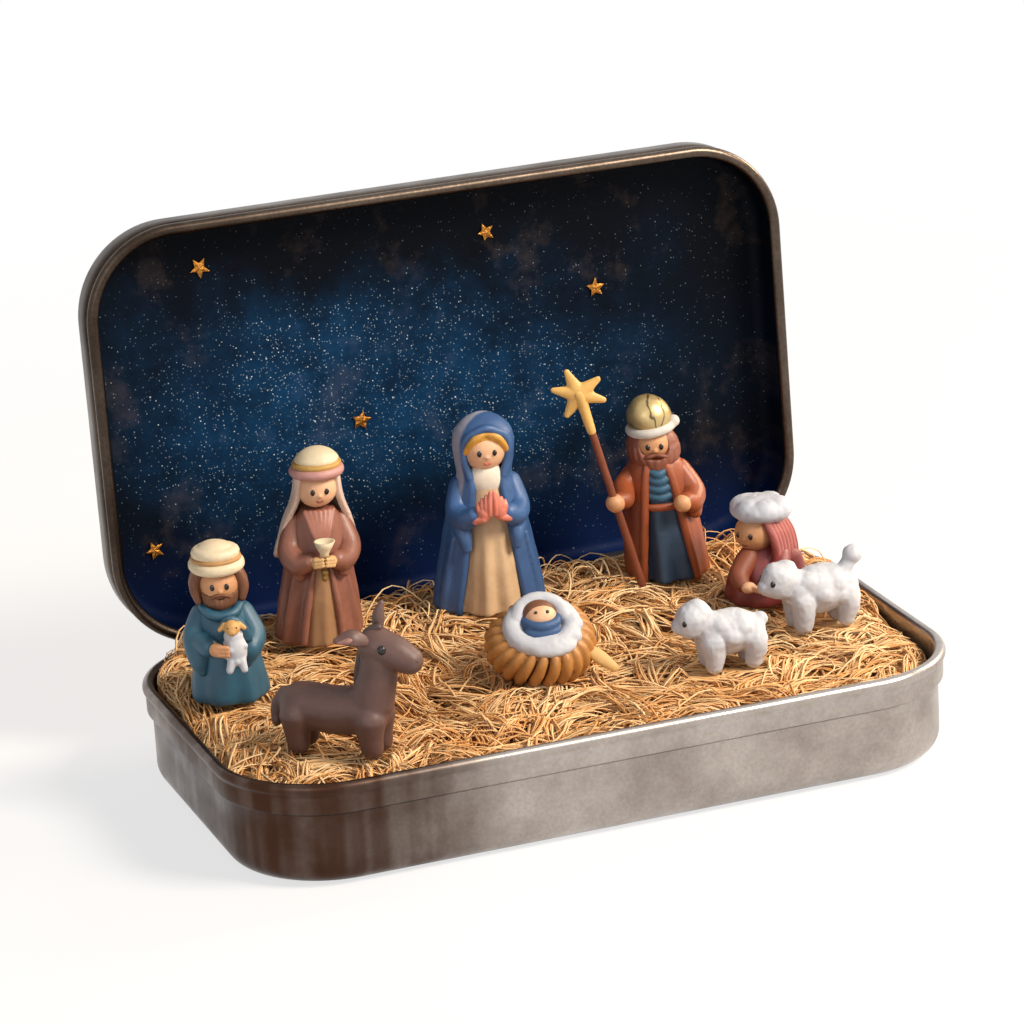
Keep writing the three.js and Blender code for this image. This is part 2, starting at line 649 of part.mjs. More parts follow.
// Mother: folded gown under a hooded mantle that is open in front, praying hands
{
  const add = stand('mother');
  const mantleRows = [
    [0, 6.9, 5.5, 0.5], [4, 6.4, 5.2, 0.45], [9, 5.4, 4.6, 0.3], [13, 4.6, 4.1, 0.2],
    [15.6, 4, 3.7, 0.2], [17.4, 3.5, 3.4, 0.2], [21.4, 3.9, 3.7, 0.1], [23.4, 3.4, 3.3, 0.2],
    [24.7, 2, 2, 0.3], [25.2, 0.6, 0.6, 0.4],
  ];
  const mantle = drape(mantleRows, { count: ROBE_FOLDS, depth: 0.035, phase: 0.4 });
  const gownRows = [
    [0, 4.9, 4.9, -0.8], [6, 4, 4.2, -0.7], [12, 3.2, 3.4, -0.5], [16.5, 2.3, 2.4, -0.3],
    [17.6, 1.6, 1.6, -0.3],
  ];
  const gown = (grow) => drape(gownRows, { count: ROBE_FOLDS, depth: 0.04, phase: 0 }, grow);
  const head = (grow) => ball([0, -0.7, 20.8], [2.5, 2.4, 2.55], grow);
  const hair = (grow) => ball([0, -0.4, 21.2], [2.9, 2.7, 2.8], grow);
  const sleeve = (side, grow) => limb([
    [side * 3.4, 0, 15.6, 1.5],
    [side * 4, -1.8, 13, 1.8],
    [side * 3.2, -3.8, 12.6, 1.7],
    [side * 2.1, -4.9, 13.6, 1.3],
  ], grow);
  const cuff = (side, grow) => limb([[side * 3.7, -2.6, 12, 1.4], [side * 3.3, -3.7, 10.2, 1]], grow);
  const sleeves = (grow) => [sleeve(-1, grow), sleeve(1, grow), cuff(-1, grow), cuff(1, grow)];
  const hands = (grow) => [-1, 1].map((side) => moved(
    pellet([0, 0, 0], [0.75, 1, 1.9], grow),
    [0, side * 8, 0],
    [side * 0.55, -5.9, 15],
  ));
  const face = ball([0, -3.9, 20.6], [2.5, 3.2, 2.8]);
  const opening = frontWedge(-1, 17.6, 3.4, 1.4, -0.5);
  add('mother_gown', piece(
    [gown(0)],
    [...hands(CLAY_GAP), ...sleeves(CLAY_GAP), floorCut],
  ), clay(0xe2cda6));
  const inside = [gown(CLAY_GAP), hair(CLAY_GAP), head(CLAY_GAP), opening, face];
  let cloth = solid(piece([mantle], inside));
  for (const arm of sleeves(0)) cloth = cloth.add(solid(arm));
  for (const cut of [...hands(CLAY_GAP), floorCut]) cloth = cloth.subtract(solid(cut));
  add('mother_mantle', shape(cloth), clay(0x3f6ba6));
  add('mother_head', piece([head(0)], [gown(CLAY_GAP)]), clay(0xecc09a));
  add('mother_hair', piece(
    [hair(0)],
    [head(CLAY_GAP), gown(CLAY_GAP), ball([0, -3.7, 20], [2.3, 2.6, 2.4])],
  ), clay(0xd0993f));
  add('mother_hands', piece(hands(0)), clay(0xd97a68));
}

// King: open coat over a belted tunic, ringed beard, capped crown, tall staff with a star
{
  const add = stand('king');
  const tunicRows = [
    [0, 4, 3.7, -0.6], [5, 3.5, 3.3, -0.5], [9, 3, 2.9, -0.4], [13, 2.9, 2.7, -0.3], [15.4, 2, 1.9, -0.1],
  ];
  const tunic = (grow) => drape(tunicRows, { count: ROBE_FOLDS, depth: 0.04, phase: 0.2 }, grow);
  const coatRows = [
    [0, 5.4, 4.6, 0.2], [5, 5.1, 4.4, 0.2], [9.5, 4.6, 4, 0.15], [13, 4.2, 3.6, 0.1],
    [15, 3.6, 3.2, 0.1], [16.3, 2.6, 2.5, 0.1],
  ];
  const coat = drape(coatRows, { count: ROBE_FOLDS, depth: 0.03, phase: 0.9 });
  const beltRows = [[9.3, 3.35, 3.2, -0.45], [9.9, 3.45, 3.3, -0.45], [10.5, 3.35, 3.2, -0.45]];
  const belt = (grow) => drape(beltRows, undefined, grow);
  const staffFoot = [-3.9, -5.2, 0.3];
  const staffTop = [-8.6, -7, 25];
  const staff = (grow) => limb([[...staffFoot, STAFF_RADIUS], [...staffTop, STAFF_RADIUS]], grow, 10, 4);
  const grip = staffFoot.map((f, i) => THREE.MathUtils.lerp(f, staffTop[i], 0.47));
  const staffHand = (grow) => pellet(grip, [1.35, 1.35, 1.35], grow);
  const freeHand = (grow) => pellet([2.5, -5, 10.8], [1.2, 1.15, 1.2], grow);
  const staffSleeve = (grow) => limb([
    [-3, 0, 13.6, 1.5],
    [-4.5, -1.7, 12.3, 1.6],
    [grip[0] + 1.1, grip[1] + 1.5, grip[2] - 0.1, 1.3],
  ], grow);
  const freeSleeve = (grow) => limb([
    [3.1, 0, 13.6, 1.6],
    [4.4, -1.3, 11.2, 1.8],
    [4, -3.3, 10.4, 1.55],
    [3.3, -4.2, 10.8, 1.25],
  ], grow);
  const head = (grow) => ball([0, -0.5, 17.8], [2.45, 2.35, 2.4], grow);
  const brimTop = 20.6;
  const brim = (grow) => turned([
    [0, 19.2 - grow], [2.7 + grow, 19.2 - grow], [3.35 + grow, 19.7], [3.35 + grow, 20.1],
    [2.7 + grow, brimTop + grow], [0, brimTop + grow],
  ]);
  const tie = (grow) => pellet([3.1, -0.9, 20.2], [0.85, 0.8, 0.85], grow);
  const cap = turned([
    [0, brimTop + CLAY_GAP], [2.8, brimTop + CLAY_GAP], [2.95, 22], [2.4, 23.5], [1.4, 24.4],
    [0.5, 24.7], [0, 24.7],
  ]);
  const face = ball([0, -3.5, 18.5], [2.15, 2.2, 1.8]);
  const under = [tunic(CLAY_GAP), belt(CLAY_GAP)];
  const arms = [freeSleeve(CLAY_GAP), freeHand(CLAY_GAP)];
  add('king_tunic', piece([tunic(0)], [...arms, floorCut]), clay(0x22384e));
  add('king_belt', piece([belt(0)], [tunic(CLAY_GAP), ...arms]), clay(0x8a4a2c));
  let cloth = solid(coat).subtract(solid(frontWedge(-1, 17.5, 2.9, 1.3, -0.5)));
  for (const arm of [staffSleeve(0), freeSleeve(0)]) cloth = cloth.add(solid(arm));
  for (const cut of [...under, staffHand(CLAY_GAP), freeHand(CLAY_GAP), staff(CLAY_GAP), floorCut]) {
    cloth = cloth.subtract(solid(cut));
  }
  add('king_coat', shape(cloth), clay(0x8e4526));
  add('king_head', piece([head(0)], [brim(CLAY_GAP), tunic(CLAY_GAP), coat]), clay(0xc98f66));
  add('king_beard', piece(
    [ball([0, 0.1, 17.4], [3.3, 2.9, 3.2])],
    [head(CLAY_GAP), brim(CLAY_GAP), tie(CLAY_GAP), tunic(CLAY_GAP), coat, face],
  ), clay(0x7c3f26));
  add('king_brim', piece([brim(0), tie(0)]), clay(0xc9c4bc));
  add('king_cap', piece([cap], [tie(CLAY_GAP)]), metal(0xa8812e, 0.5));
  add('king_staff_hand', piece([staffHand(0)], [staff(CLAY_GAP)]), clay(0xc98f66));
  add('king_free_hand', piece([freeHand(0)]), clay(0xc98f66));
  add('king_staff', piece([staff(0)]), clay(0x7a3d24));
  const star = new THREE.ExtrudeGeometry(starShape(6, STAR_POINT, STAR_NOTCH), {
    depth: STAR_THICKNESS - 2 * STAR_EDGE,
    bevelEnabled: true,
    bevelThickness: STAR_EDGE,
    bevelSize: STAR_EDGE,
    bevelOffset: -STAR_EDGE,
    bevelSegments: 2,
  });
  const starMiddle = [staffTop[0] - 0.5, staffTop[1] + STAR_THICKNESS / 2 - STAR_EDGE, staffTop[2] + 2.1];
  moved(star, [90, 14, 0], starMiddle);
  add('king_star', piece([star], [staff(CLAY_GAP)]), clay(0xe0b050));
}

// Kneeling shepherd: low spread robe, long hair, puffed cap, hands held out in front
{
  const add = stand('kneeler');
  const robeRows = [
    [0, 4.8, 4.6, 0.2], [3, 4.4, 4.2, 0.1], [5.2, 3.6, 3.4, 0], [6.8, 2.5, 2.4, 0], [7.6, 1.6, 1.6, 0],
  ];
  const sleeve = (grow) => limb([
    [-1.8, -1.8, 6.2, 1.4],
    [-3.2, -3.6, 4.6, 1.35],
    [-3, -4.9, 3.7, 1.1],
  ], grow);
  const hands = (grow) => pellet([-2.1, -6, 3.5], [1.2, 0.9, 0.85], grow);
  const robe = (grow) => [
    drape(robeRows, { count: ROBE_FOLDS, depth: 0.04, phase: 0.5 }, grow),
    limb([[2.2, -1.6, 6, 1.4], [1.7, -4, 4.6, 1.2], [-0.2, -5.3, 3.7, 0.95]], grow),
  ];
  const head = (grow) => ball([-0.9, -0.7, 9.1], [2.4, 2.3, 2.35], grow);
  const cap = (grow) => woolBall([0, 0, 12.1], [3.9, 3.6, 1.9], 9, 0.04, grow);
  const hair = [
    ball([0.2, 0.4, 9], [3, 2.7, 2.9]),
    limb([[1.6, -0.4, 9.6, 1.5], [2.7, -0.6, 7, 1.4], [3.9, -0.8, 5, 1]]),
  ];
  const face = ball([-2.5, -2.7, 9.2], [2.5, 2.2, 2.6]);
  add('kneeler_robe', piece(robe(0), [sleeve(CLAY_GAP), hands(CLAY_GAP), floorCut]), clay(0x6e2b2c));
  add('kneeler_sleeve', piece([sleeve(0)], [hands(CLAY_GAP)]), clay(0x9a5a34));
  add('kneeler_hands', piece([hands(0)]), clay(0xd8a884));
  add('kneeler_head', piece([head(0)], [cap(CLAY_GAP), sleeve(CLAY_GAP), ...robe(CLAY_GAP)]), clay(0xc98f68));
  add('kneeler_hair', piece(
    hair,
    [head(CLAY_GAP), cap(CLAY_GAP), ...robe(CLAY_GAP), sleeve(CLAY_GAP), face],
  ), clay(0x9c4744));
  add('kneeler_cap', piece([cap(0)]), clay(0xd9d8d6));
}

// Donkey: one modelled body on four stub legs, with two separate ears
{
  const add = stand('donkey');
  const body = [
    limb([[-4.9, 0, 6, 2.85], [0, 0, 5.9, 2.9], [3.8, 0, 6.2, 2.8]], 0, 9),
    limb([[4.5, 0, 7, 2.7], [5.4, 0, 10.2, 2.4], [5.8, 0, 12.8, 2.3]], 0, 8),
    limb([[5.2, 0, 14.1, 2.4], [8, 0, 13.2, 2.1], [9.8, 0, 12.4, 1.7]], 0, 8),
    limb([[-7, 0, 7.4, 0.75], [-8.1, -0.2, 5.8, 0.65], [-8.1, -0.3, 3.6, 0.75]]),
  ];
  for (const x of [4.5, -5]) {
    for (const y of [-1.5, 1.5]) {
      body.push(limb([[x, y, 5.4, 1.75], [x, y, 2.8, 1.5], [x + 0.1, y, 0, 1.5]]));
    }
  }
  const nearEar = (grow) => limb([[4.9, -1.7, 15.2, 0.7], [3.6, -2.8, 15.8, 1], [2, -3.8, 15.8, 0.5]], grow);
  const farEar = (grow) => limb([[5.3, 1.1, 15.6, 0.65], [5.3, 1.4, 17.4, 0.75], [5.7, 1.7, 19, 0.3]], grow);
  add('donkey_body', piece(body, [nearEar(CLAY_GAP), farEar(CLAY_GAP), floorCut]), clay(0x6a4c44, 0.85));
  add('donkey_near_ear', piece([nearEar(0)]), clay(0x6a4c44, 0.85));
  add('donkey_far_ear', piece([farEar(0)]), clay(0x6a4c44, 0.85));
}

// Sheep: a woolly body on stub legs with a separate head; the rear one carries a ball of a tail
function sheep(key, prefix, { bodyAt, bodySize, headAt, headSize, tail }) {
  const add = stand(key);
  const head = (grow) => [
    woolBall(headAt, headSize, 7, 0.03, grow),
    pellet([headAt[0] + 0.6 * headSize[0], 0, headAt[2] - 0.5], [1.35, 1.3, 1.25], grow),
  ];
  const body = [woolBall(bodyAt, bodySize, 7, 0.06)];
  for (const x of [bodyAt[0] + 0.58 * bodySize[0], bodyAt[0] - 0.62 * bodySize[0]]) {
    for (const y of [-1.45, 1.45]) {
      body.push(limb([[x, y, bodyAt[2] - 0.8, 1.5], [x + 0.15, y, 0, 1.25]]));
    }
  }
  body.push(limb([
    [bodyAt[0] + 0.5 * bodySize[0], 0, bodyAt[2] + 0.6, 2],
    [headAt[0] - 0.4, 0, headAt[2] - 0.3, 1.7],
  ]));
  if (tail) {
    body.push(limb([[bodyAt[0] - 0.75 * bodySize[0], 0, bodyAt[2] + 1.4, 1.2], [...tail, 1.2]]));
  }
  add(`${prefix}_body`, piece(body, [...head(CLAY_GAP), floorCut]), clay(0xe4e3e2, 0.85));
  add(`${prefix}_head`, piece(head(0)), clay(0xe4e3e2, 0.85));
}
sheep('frontSheep', 'front_sheep', {
  bodyAt: [-1.2, 0, 5.2],
  bodySize: [4.4, 3, 2.9],
  headAt: [3.6, 0, 7],
  headSize: [2.3, 2.15, 2.25],
});
sheep('rearSheep', 'rear_sheep', {
  bodyAt: [-0.6, 0, 5.6],
  bodySize: [5.1, 3.2, 3.2],
  headAt: [5.1, 0, 7.4],
  headSize: [2.45, 2.3, 2.4],
  tail: [-5.3, 0, 8.9],
});

// Manger: a ribbed shell basket tipped towards the front, padded swaddling, the wrapped child
{
  const add = stand('manger');
  const tip = (geometry) => moved(geometry, [34, 0, 0], [0, 0.4, 2.3]);
  const ribCount = 12;
  const oval = ([rx, ry, z, ribs], sides, grow, drop = 0) => {
    const ring = [];
    for (let j = 0; j < sides; j++) {
      const a = 2 * Math.PI * j / sides;
      const k = 1 + ribs * Math.cos(ribCount * a);
      ring.push(new THREE.Vector3((rx * k + grow) * Math.cos(a), (ry * k + grow) * Math.sin(a), z - drop));
    }
    return ring;
  };
  const basketRows = [
    [2, 1.6, -1.6, 0], [4.4, 3.6, -1, 0.04], [6.2, 5, 0.2, 0.06], [6.9, 5.6, 1.8, 0.07],
    [6.9, 5.6, 3, 0.07], [6.3, 5.1, 4.1, 0.05], [5.4, 4.4, 4.6, 0.02],
  ];
  const paddingRows = [
    [3.2, 2.8, 3.6, 0], [4.6, 4.1, 4.3, 0], [4.9, 4.4, 5, 0], [4.6, 4.1, 5.7, 0], [3.7, 3.2, 6.1, 0],
    [2.8, 2.3, 5.8, 0], [2.3, 1.9, 5.2, 0],
  ];
  const padding = (grow) => tip(loft(paddingRows.map((row, i) => (
    oval(row, ROBE_SIDES, grow, i === 0 ? grow : 0)
  ))));
  const basket = (grow) => tip(loft(basketRows.map((row) => oval(row, 3 * ribCount, grow))));
  const head = (grow) => tip(ball([0.1, 0.9, 6.3], [1.7, 1.5, 1.5], grow));
  const wrap = (grow) => tip(ball([0.1, -1, 5.7], [2, 1.1, 0.75], grow));
  const slat = limb([[5, -3, 3.9, 0.6], [6.6, -3.5, 2.6, 0.9], [8.3, -3.9, 1.2, 0.65]]);
  add('manger_basket', piece([basket(0)], [padding(CLAY_GAP), floorCut]), clay(0xc08a4a));
  add('manger_slat', piece([slat], [basket(CLAY_GAP)]), clay(0xb98044));
  add('manger_swaddling', piece([padding(0)], [head(CLAY_GAP), wrap(CLAY_GAP)]), clay(0xe8e6e2));
  add('child_head', piece([head(0)]), clay(0xe2b090));
  add('child_wrap', piece([wrap(0)], [head(CLAY_GAP)]), clay(0x3a5c8c));
}

export default tin;
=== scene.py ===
import bpy
import math
import random
from mathutils import Euler, Matrix, Vector, noise


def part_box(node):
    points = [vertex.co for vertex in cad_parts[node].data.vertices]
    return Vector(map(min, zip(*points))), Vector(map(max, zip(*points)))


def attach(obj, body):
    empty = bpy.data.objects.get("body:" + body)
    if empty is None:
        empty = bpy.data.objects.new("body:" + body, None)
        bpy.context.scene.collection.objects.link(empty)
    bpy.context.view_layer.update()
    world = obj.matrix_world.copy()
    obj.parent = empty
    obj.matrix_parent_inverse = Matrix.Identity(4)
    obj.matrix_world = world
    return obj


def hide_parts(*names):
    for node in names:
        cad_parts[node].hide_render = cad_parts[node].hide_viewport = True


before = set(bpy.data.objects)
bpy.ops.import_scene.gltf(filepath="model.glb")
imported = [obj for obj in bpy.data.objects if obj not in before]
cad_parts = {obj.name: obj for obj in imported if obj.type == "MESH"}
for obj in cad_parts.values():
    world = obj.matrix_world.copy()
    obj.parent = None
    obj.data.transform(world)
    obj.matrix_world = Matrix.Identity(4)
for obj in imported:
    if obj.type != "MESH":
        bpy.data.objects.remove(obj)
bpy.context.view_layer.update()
scene = bpy.context.scene
scene.view_settings.view_transform = "Standard"


# Camera: a long lens from the left front, a little above the tin, turned slightly on its axis.
# The values come from the photograph's view of the tin's edges.
azimuth, elevation, bank = (math.radians(a) for a in (-19.7, 18.4, -3.4))
aim = Vector((-0.00285, 0, 0.0332))
DISTANCE, FOCAL_PX, PICTURE_PX = 0.559, 4534, 1024
level_share = math.cos(elevation)
away = Vector((math.sin(azimuth) * level_share, -math.cos(azimuth) * level_share, math.sin(elevation)))
level = Vector((0, 0, 1)).cross(away).normalized()
upright = away.cross(level)
right = level * math.cos(bank) + upright * math.sin(bank)
top = upright * math.cos(bank) - level * math.sin(bank)
lens = bpy.data.cameras.new("camera")
lens.sensor_width = 36
lens.lens = lens.sensor_width * FOCAL_PX / PICTURE_PX
camera = bpy.data.objects.new("camera", lens)
camera.matrix_world = Matrix((right, top, away)).transposed().to_4x4()
camera.location = aim + away * DISTANCE
scene.collection.objects.link(camera)
scene.camera = camera


# Floor and light: a wide pale floor, pure white away from the tin, under a white surround. A large
# soft lamp stands at the upper right, a warm low one beside the lid for the edges, and a weaker
# cool one at the left.
def linear(hex_colour, alpha=1.0):
    parts = [int(hex_colour[i:i + 2], 16) / 255 for i in (1, 3, 5)]
    return [c / 12.92 if c <= 0.04045 else ((c + 0.055) / 1.055) ** 2.4 for c in parts] + [alpha]


def result(made):
    return made.outputs[2 if made.bl_idname == "ShaderNodeMix" else 0]


def node(tree, kind, inputs=(), to=None, **settings):
    made = tree.nodes.new("ShaderNode" + kind)
    for key, value in settings.items():
        setattr(made, key, value)
    for socket, value in dict(inputs).items():
        if isinstance(value, bpy.types.Node):
            value = result(value)
        if isinstance(value, bpy.types.NodeSocket):
            tree.links.new(value, made.inputs[socket])
        else:
            made.inputs[socket].default_value = value
    if to is not None:
        tree.links.new(result(made), to)
    return made


def finish(name, roughness, metallic=0.0):
    made = bpy.data.materials.new(name)
    made.use_nodes = True
    shader = made.node_tree.nodes["Principled BSDF"]
    shader.inputs["Roughness"].default_value = roughness
    shader.inputs["Metallic"].default_value = metallic
    return made, made.node_tree, shader


def straight_rays(tree):
    rays = node(tree, "LightPath")
    direct = node(tree, "Math", {0: rays.outputs["Is Camera Ray"], 1: rays.outputs["Is Glossy Ray"]},
        operation="MAXIMUM")
    return node(tree, "Math", {0: direct, 1: rays.outputs["Is Transmission Ray"]}, operation="MAXIMUM")


floor_mesh = bpy.data.meshes.new("floor")
half = 4
floor_corners = [(-half, -half, 0), (half, -half, 0), (half, half, 0), (-half, half, 0)]
floor_mesh.from_pydata(floor_corners, [], [(0, 1, 2, 3)])
floor = bpy.data.objects.new("floor", floor_mesh)
HAIR_BELOW = 0.0002
floor.location.z = -HAIR_BELOW
scene.collection.objects.link(floor)
paper, tree, shader = finish("pale_paper_floor", 0.9)
shader.inputs["Base Color"].default_value = linear("#f7f6f5")
seen = straight_rays(tree)
spot = node(tree, "NewGeometry").outputs["Position"]
reach = node(tree, "VectorMath", {0: spot}, operation="LENGTH")
plain = node(tree, "MapRange", {0: reach.outputs["Value"], 1: 0.08, 2: 0.3, 3: 0.7, 4: 1.0},
    interpolation_type="SMOOTHSTEP")
share = node(tree, "Math", {0: seen, 1: plain}, operation="MULTIPLY")
glow = node(tree, "Emission", {"Color": linear("#ffffff"), "Strength": 1.0})
node(tree, "MixShader", {0: share, 1: shader, 2: glow}, tree.nodes["Material Output"].inputs["Surface"])
floor_mesh.materials.append(paper)

surround = bpy.data.worlds.new("white_surround")
surround.use_nodes = True
tree = surround.node_tree
seen = straight_rays(tree)
tree.nodes["Background"].inputs["Color"].default_value = linear("#ffffff")
node(tree, "MapRange", {0: seen, 3: 0.16, 4: 1.0}, tree.nodes["Background"].inputs["Strength"])
scene.world = surround

LIT = Vector((0, 0, 0.025))
for lamp_name, place, power, size, tint in (
    ("window_right", (0.44, -0.42, 0.56), 9.0, 0.28, "#fff4e4"),
    ("edge_right", (0.62, 0.16, 0.32), 3.4, 0.25, "#ffe2bf"),
    ("fill_left", (-0.5, -0.6, 0.42), 1.5, 0.5, "#f6f8ff"),
):
    lamp = bpy.data.lights.new(lamp_name, "AREA")
    lamp.energy = power
    lamp.size = size
    lamp.color = linear(tint)[:3]
    holder = bpy.data.objects.new(lamp_name, lamp)
    holder.location = place
    holder.rotation_euler = (LIT - Vector(place)).to_track_quat("-Z", "Y").to_euler()
    scene.collection.objects.link(holder)


# Base pan: pressed from thin tinplate, with a rounded foot, a plain wall, a flat band and a rim
# rolled into a bead. Two straps at the back curl into the hinge loops.
TIN_LENGTH, TIN_DEPTH, TIN_HEIGHT, TIN_CORNER = 95.0, 55.6, 13.3, 14.0
PLATE, BEAD, HINGE_PLAY, MM = 0.5, 0.75, 0.3, 0.001
HINGE_Y, HINGE_Z = TIN_DEPTH / 2 - 1.3, TIN_HEIGHT + HINGE_PLAY + BEAD
LOOPS = (-22.0, 22.0)


def outline(length, depth, corner, inset, z, shift=0.0, steps=22):
    r = max(0.4, corner - inset)
    ring = []
    for sx, sy, start in ((1, 1, 0), (-1, 1, 90), (-1, -1, 180), (1, -1, 270)):
        for i in range(steps + 1):
            a = math.radians(start + 90 * i / steps)
            ring.append((sx * (length / 2 - inset - r) + r * math.cos(a),
                         shift + sy * (depth / 2 - inset - r) + r * math.sin(a), z))
    return ring


def skin(rings, closed=False):
    count = len(rings[0])
    verts = [p for ring in rings for p in ring]
    last = len(rings) if closed else len(rings) - 1
    faces = []
    for i in range(last):
        low, high = i * count, (i + 1) % len(rings) * count
        faces += [(low + j, low + (j + 1) % count, high + (j + 1) % count, high + j) for j in range(count)]
    if not closed:
        faces.append(tuple(reversed(range(count))))
        faces.append(tuple(range((len(rings) - 1) * count, len(rings) * count)))
    return verts, faces


def joined(*parts):
    verts, faces = [], []
    for v, f in parts:
        faces += [tuple(i + len(verts) for i in face) for face in f]
        verts += v
    return verts, faces


def put(name, shape, material, body, nodes=(), place=Matrix(), smooth=True):
    mesh = bpy.data.meshes.new(name)
    mesh.from_pydata([place @ Vector(v) * MM for v in shape[0]], [], shape[1])
    mesh.validate()
    mesh.polygons.foreach_set("use_smooth", [smooth] * len(mesh.polygons))
    mesh.materials.append(material)
    made = bpy.data.objects.new(name, mesh)
    scene.collection.objects.link(made)
    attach(made, body)
    if nodes:
        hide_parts(*nodes)
    return made


def bead_arc(start, end, height, steps=14):
    arc = []
    for i in range(steps + 1):
        a = math.radians(start + (end - start) * i / steps)
        arc.append((BEAD * (1 - math.cos(a)), height + BEAD * math.sin(a)))
    return arc


def curled_loop(x, width=6.0):
    inner, outer, drop = BEAD + HINGE_PLAY, BEAD + HINGE_PLAY + PLATE, 3.1
    path = [(inner, -drop), (inner, -1.4), (inner, 0)]
    far = [(outer, -drop), (outer, -1.4), (outer, 0)]
    for i in range(1, 29):
        a = math.radians(i * 11)
        path.append((inner * math.cos(a), inner * math.sin(a)))
        far.append((outer * math.cos(a), outer * math.sin(a)))
    ring = path + far[::-1]
    sides = [[(x + s, HINGE_Y + y, HINGE_Z + z) for y, z in ring] for s in (-width / 2, width / 2)]
    n, m = len(ring), len(path)
    verts = sides[0] + sides[1]
    faces = [(j, (j + 1) % n, n + (j + 1) % n, n + j) for j in range(n)]
    for base in (0, n):
        faces += [(base + j, base + j + 1, base + n - 2 - j, base + n - 1 - j) for j in range(m - 1)]
    return verts, faces


FOOT_ROUND, wall = 2.6, 1.05
inner = wall + PLATE
pan_section = [(wall + FOOT_ROUND, 0.0)]
for a in (math.radians(d) for d in range(10, 91, 10)):
    pan_section.append((wall + FOOT_ROUND * (1 - math.sin(a)), FOOT_ROUND * (1 - math.cos(a))))
pan_section += [(wall, 6.0), (wall, 9.05), (wall - 0.12, 9.2), (0.5, 9.4), (0.38, 9.55), (0.35, 9.75),
    (0.35, 11.5), (0.45, 11.68)]
pan_section += bead_arc(-38, 180, TIN_HEIGHT - BEAD)
pan_section += [(inner, TIN_HEIGHT - 1.5), (inner, 3.1), (inner + 0.5, 1.5), (inner + 1.6, PLATE)]
pan_shape = joined(
    skin([outline(TIN_LENGTH, TIN_DEPTH, TIN_CORNER, o, z) for o, z in pan_section]),
    *[curled_loop(x) for x in LOOPS])


# Worn tinplate: rolled sheet with a soft sheen. Handling leaves brown tarnish in blots of several
# millimetres. Soft upright dark bands, strongest at the front left corner, are partly rust and
# partly painted dark reflection and shade.
def worn_tinplate(name, sheet_colour, rubbed_colour, stain_and_painted_dark_colour, corner_rust_and_painted_dark, depth_share):
    made, tree, shader = finish(name, 0.3, 1.0)
    to_corner = (44, 25, 0)
    spot = node(tree, "TexCoord").outputs["Object"]
    mm = node(tree, "VectorMath", {0: spot, 1: (1000, 1000, 1000)}, operation="MULTIPLY").outputs[0]
    blot = node(tree, "TexNoise", {"Vector": mm, "Scale": 0.11, "Detail": 5, "Roughness": 0.6})
    upright = node(tree, "VectorMath", {0: mm, 1: (0.3, 0.3, 0.015)}, operation="MULTIPLY")
    drawn = node(tree, "TexNoise", {"Vector": upright, "Scale": 1.0, "Detail": 2, "Roughness": 0.5})
    grit = node(tree, "TexNoise", {"Vector": mm, "Scale": 2.2, "Detail": 4})
    # Painted dark reflection and shade, partly rust: upright bands darken the sheet towards the front left
    # corner.
    from_corner = node(tree, "VectorMath", {0: mm, 1: to_corner}, operation="ADD")
    flattened = node(tree, "VectorMath", {0: from_corner, 1: (1, depth_share, 0)}, operation="MULTIPLY")
    away_from = node(tree, "VectorMath", {0: flattened}, operation="LENGTH")
    corner = node(tree, "MapRange", {0: away_from.outputs["Value"], 1: 34, 2: 5, 3: 0.04, 4: corner_rust_and_painted_dark},
        interpolation_type="SMOOTHSTEP")
    banded = node(tree, "MapRange", {0: drawn, 1: 0.3, 2: 0.75, 3: 0.62, 4: 1.0},
        interpolation_type="SMOOTHSTEP")
    mixed = node(tree, "Math", {0: banded, 1: corner}, operation="MULTIPLY")
    tarnish = node(tree, "MapRange", {0: blot, 1: 0.4, 2: 0.75, 3: 0.0, 4: 0.26})
    total = node(tree, "Math", {0: tarnish, 1: mixed}, operation="ADD", use_clamp=True)
    remains = node(tree, "Math", {0: 2.0, 1: total}, operation="SUBTRACT")
    toned = node(tree, "Math", {0: total, 1: remains}, operation="MULTIPLY")
    sheet = node(tree, "Mix", {0: grit, 6: linear(sheet_colour), 7: linear(rubbed_colour)}, data_type="RGBA")
    node(tree, "Mix", {0: toned, 6: sheet, 7: linear(stain_and_painted_dark_colour)}, shader.inputs["Base Color"],
        data_type="RGBA")
    node(tree, "MapRange", {0: blot, 1: 0.3, 2: 0.7, 3: 0.24, 4: 0.42}, shader.inputs["Roughness"])
    node(tree, "Bump", {"Strength": 0.1, "Distance": 0.0002, "Height": blot}, shader.inputs["Normal"])
    return made


base_plate = worn_tinplate("worn_tinplate_base", "#a59b93", "#c8c0ba", "#412b20", 1.0, 0.5)
put("base_tin", pan_shape, base_plate, "tin_base", ["base_pan"])


# Lid: the same tinplate, a shallow tray hung on its own rolled edge. Its skirt and rim are darker,
# partly tarnish and partly a painted dark reflection, and the flat panel is brightened by a fixed
# factor. Two slots in the rear skirt bare that edge for the loops.
LID_LENGTH, LID_DEPTH, LID_CORNER, LID_PANEL, LID_ROUND = 94.0, 54.4, 12.0, 6.0, 1.6
LID_SHIFT, SKIRT, LID_OPEN = BEAD - LID_DEPTH / 2, 0.1, 93.5
lid_place = Matrix.Translation((0, HINGE_Y, HINGE_Z)) @ Matrix.Rotation(math.radians(-LID_OPEN), 4, "X")


def lid_round(inset, crown, radius, out):
    turns = [math.radians(a) for a in range(0, 91, 15)]
    arc = [(inset + radius * (1 - math.sin(a)), crown - radius * (1 - math.cos(a))) for a in turns]
    return arc[::-1] if out else arc


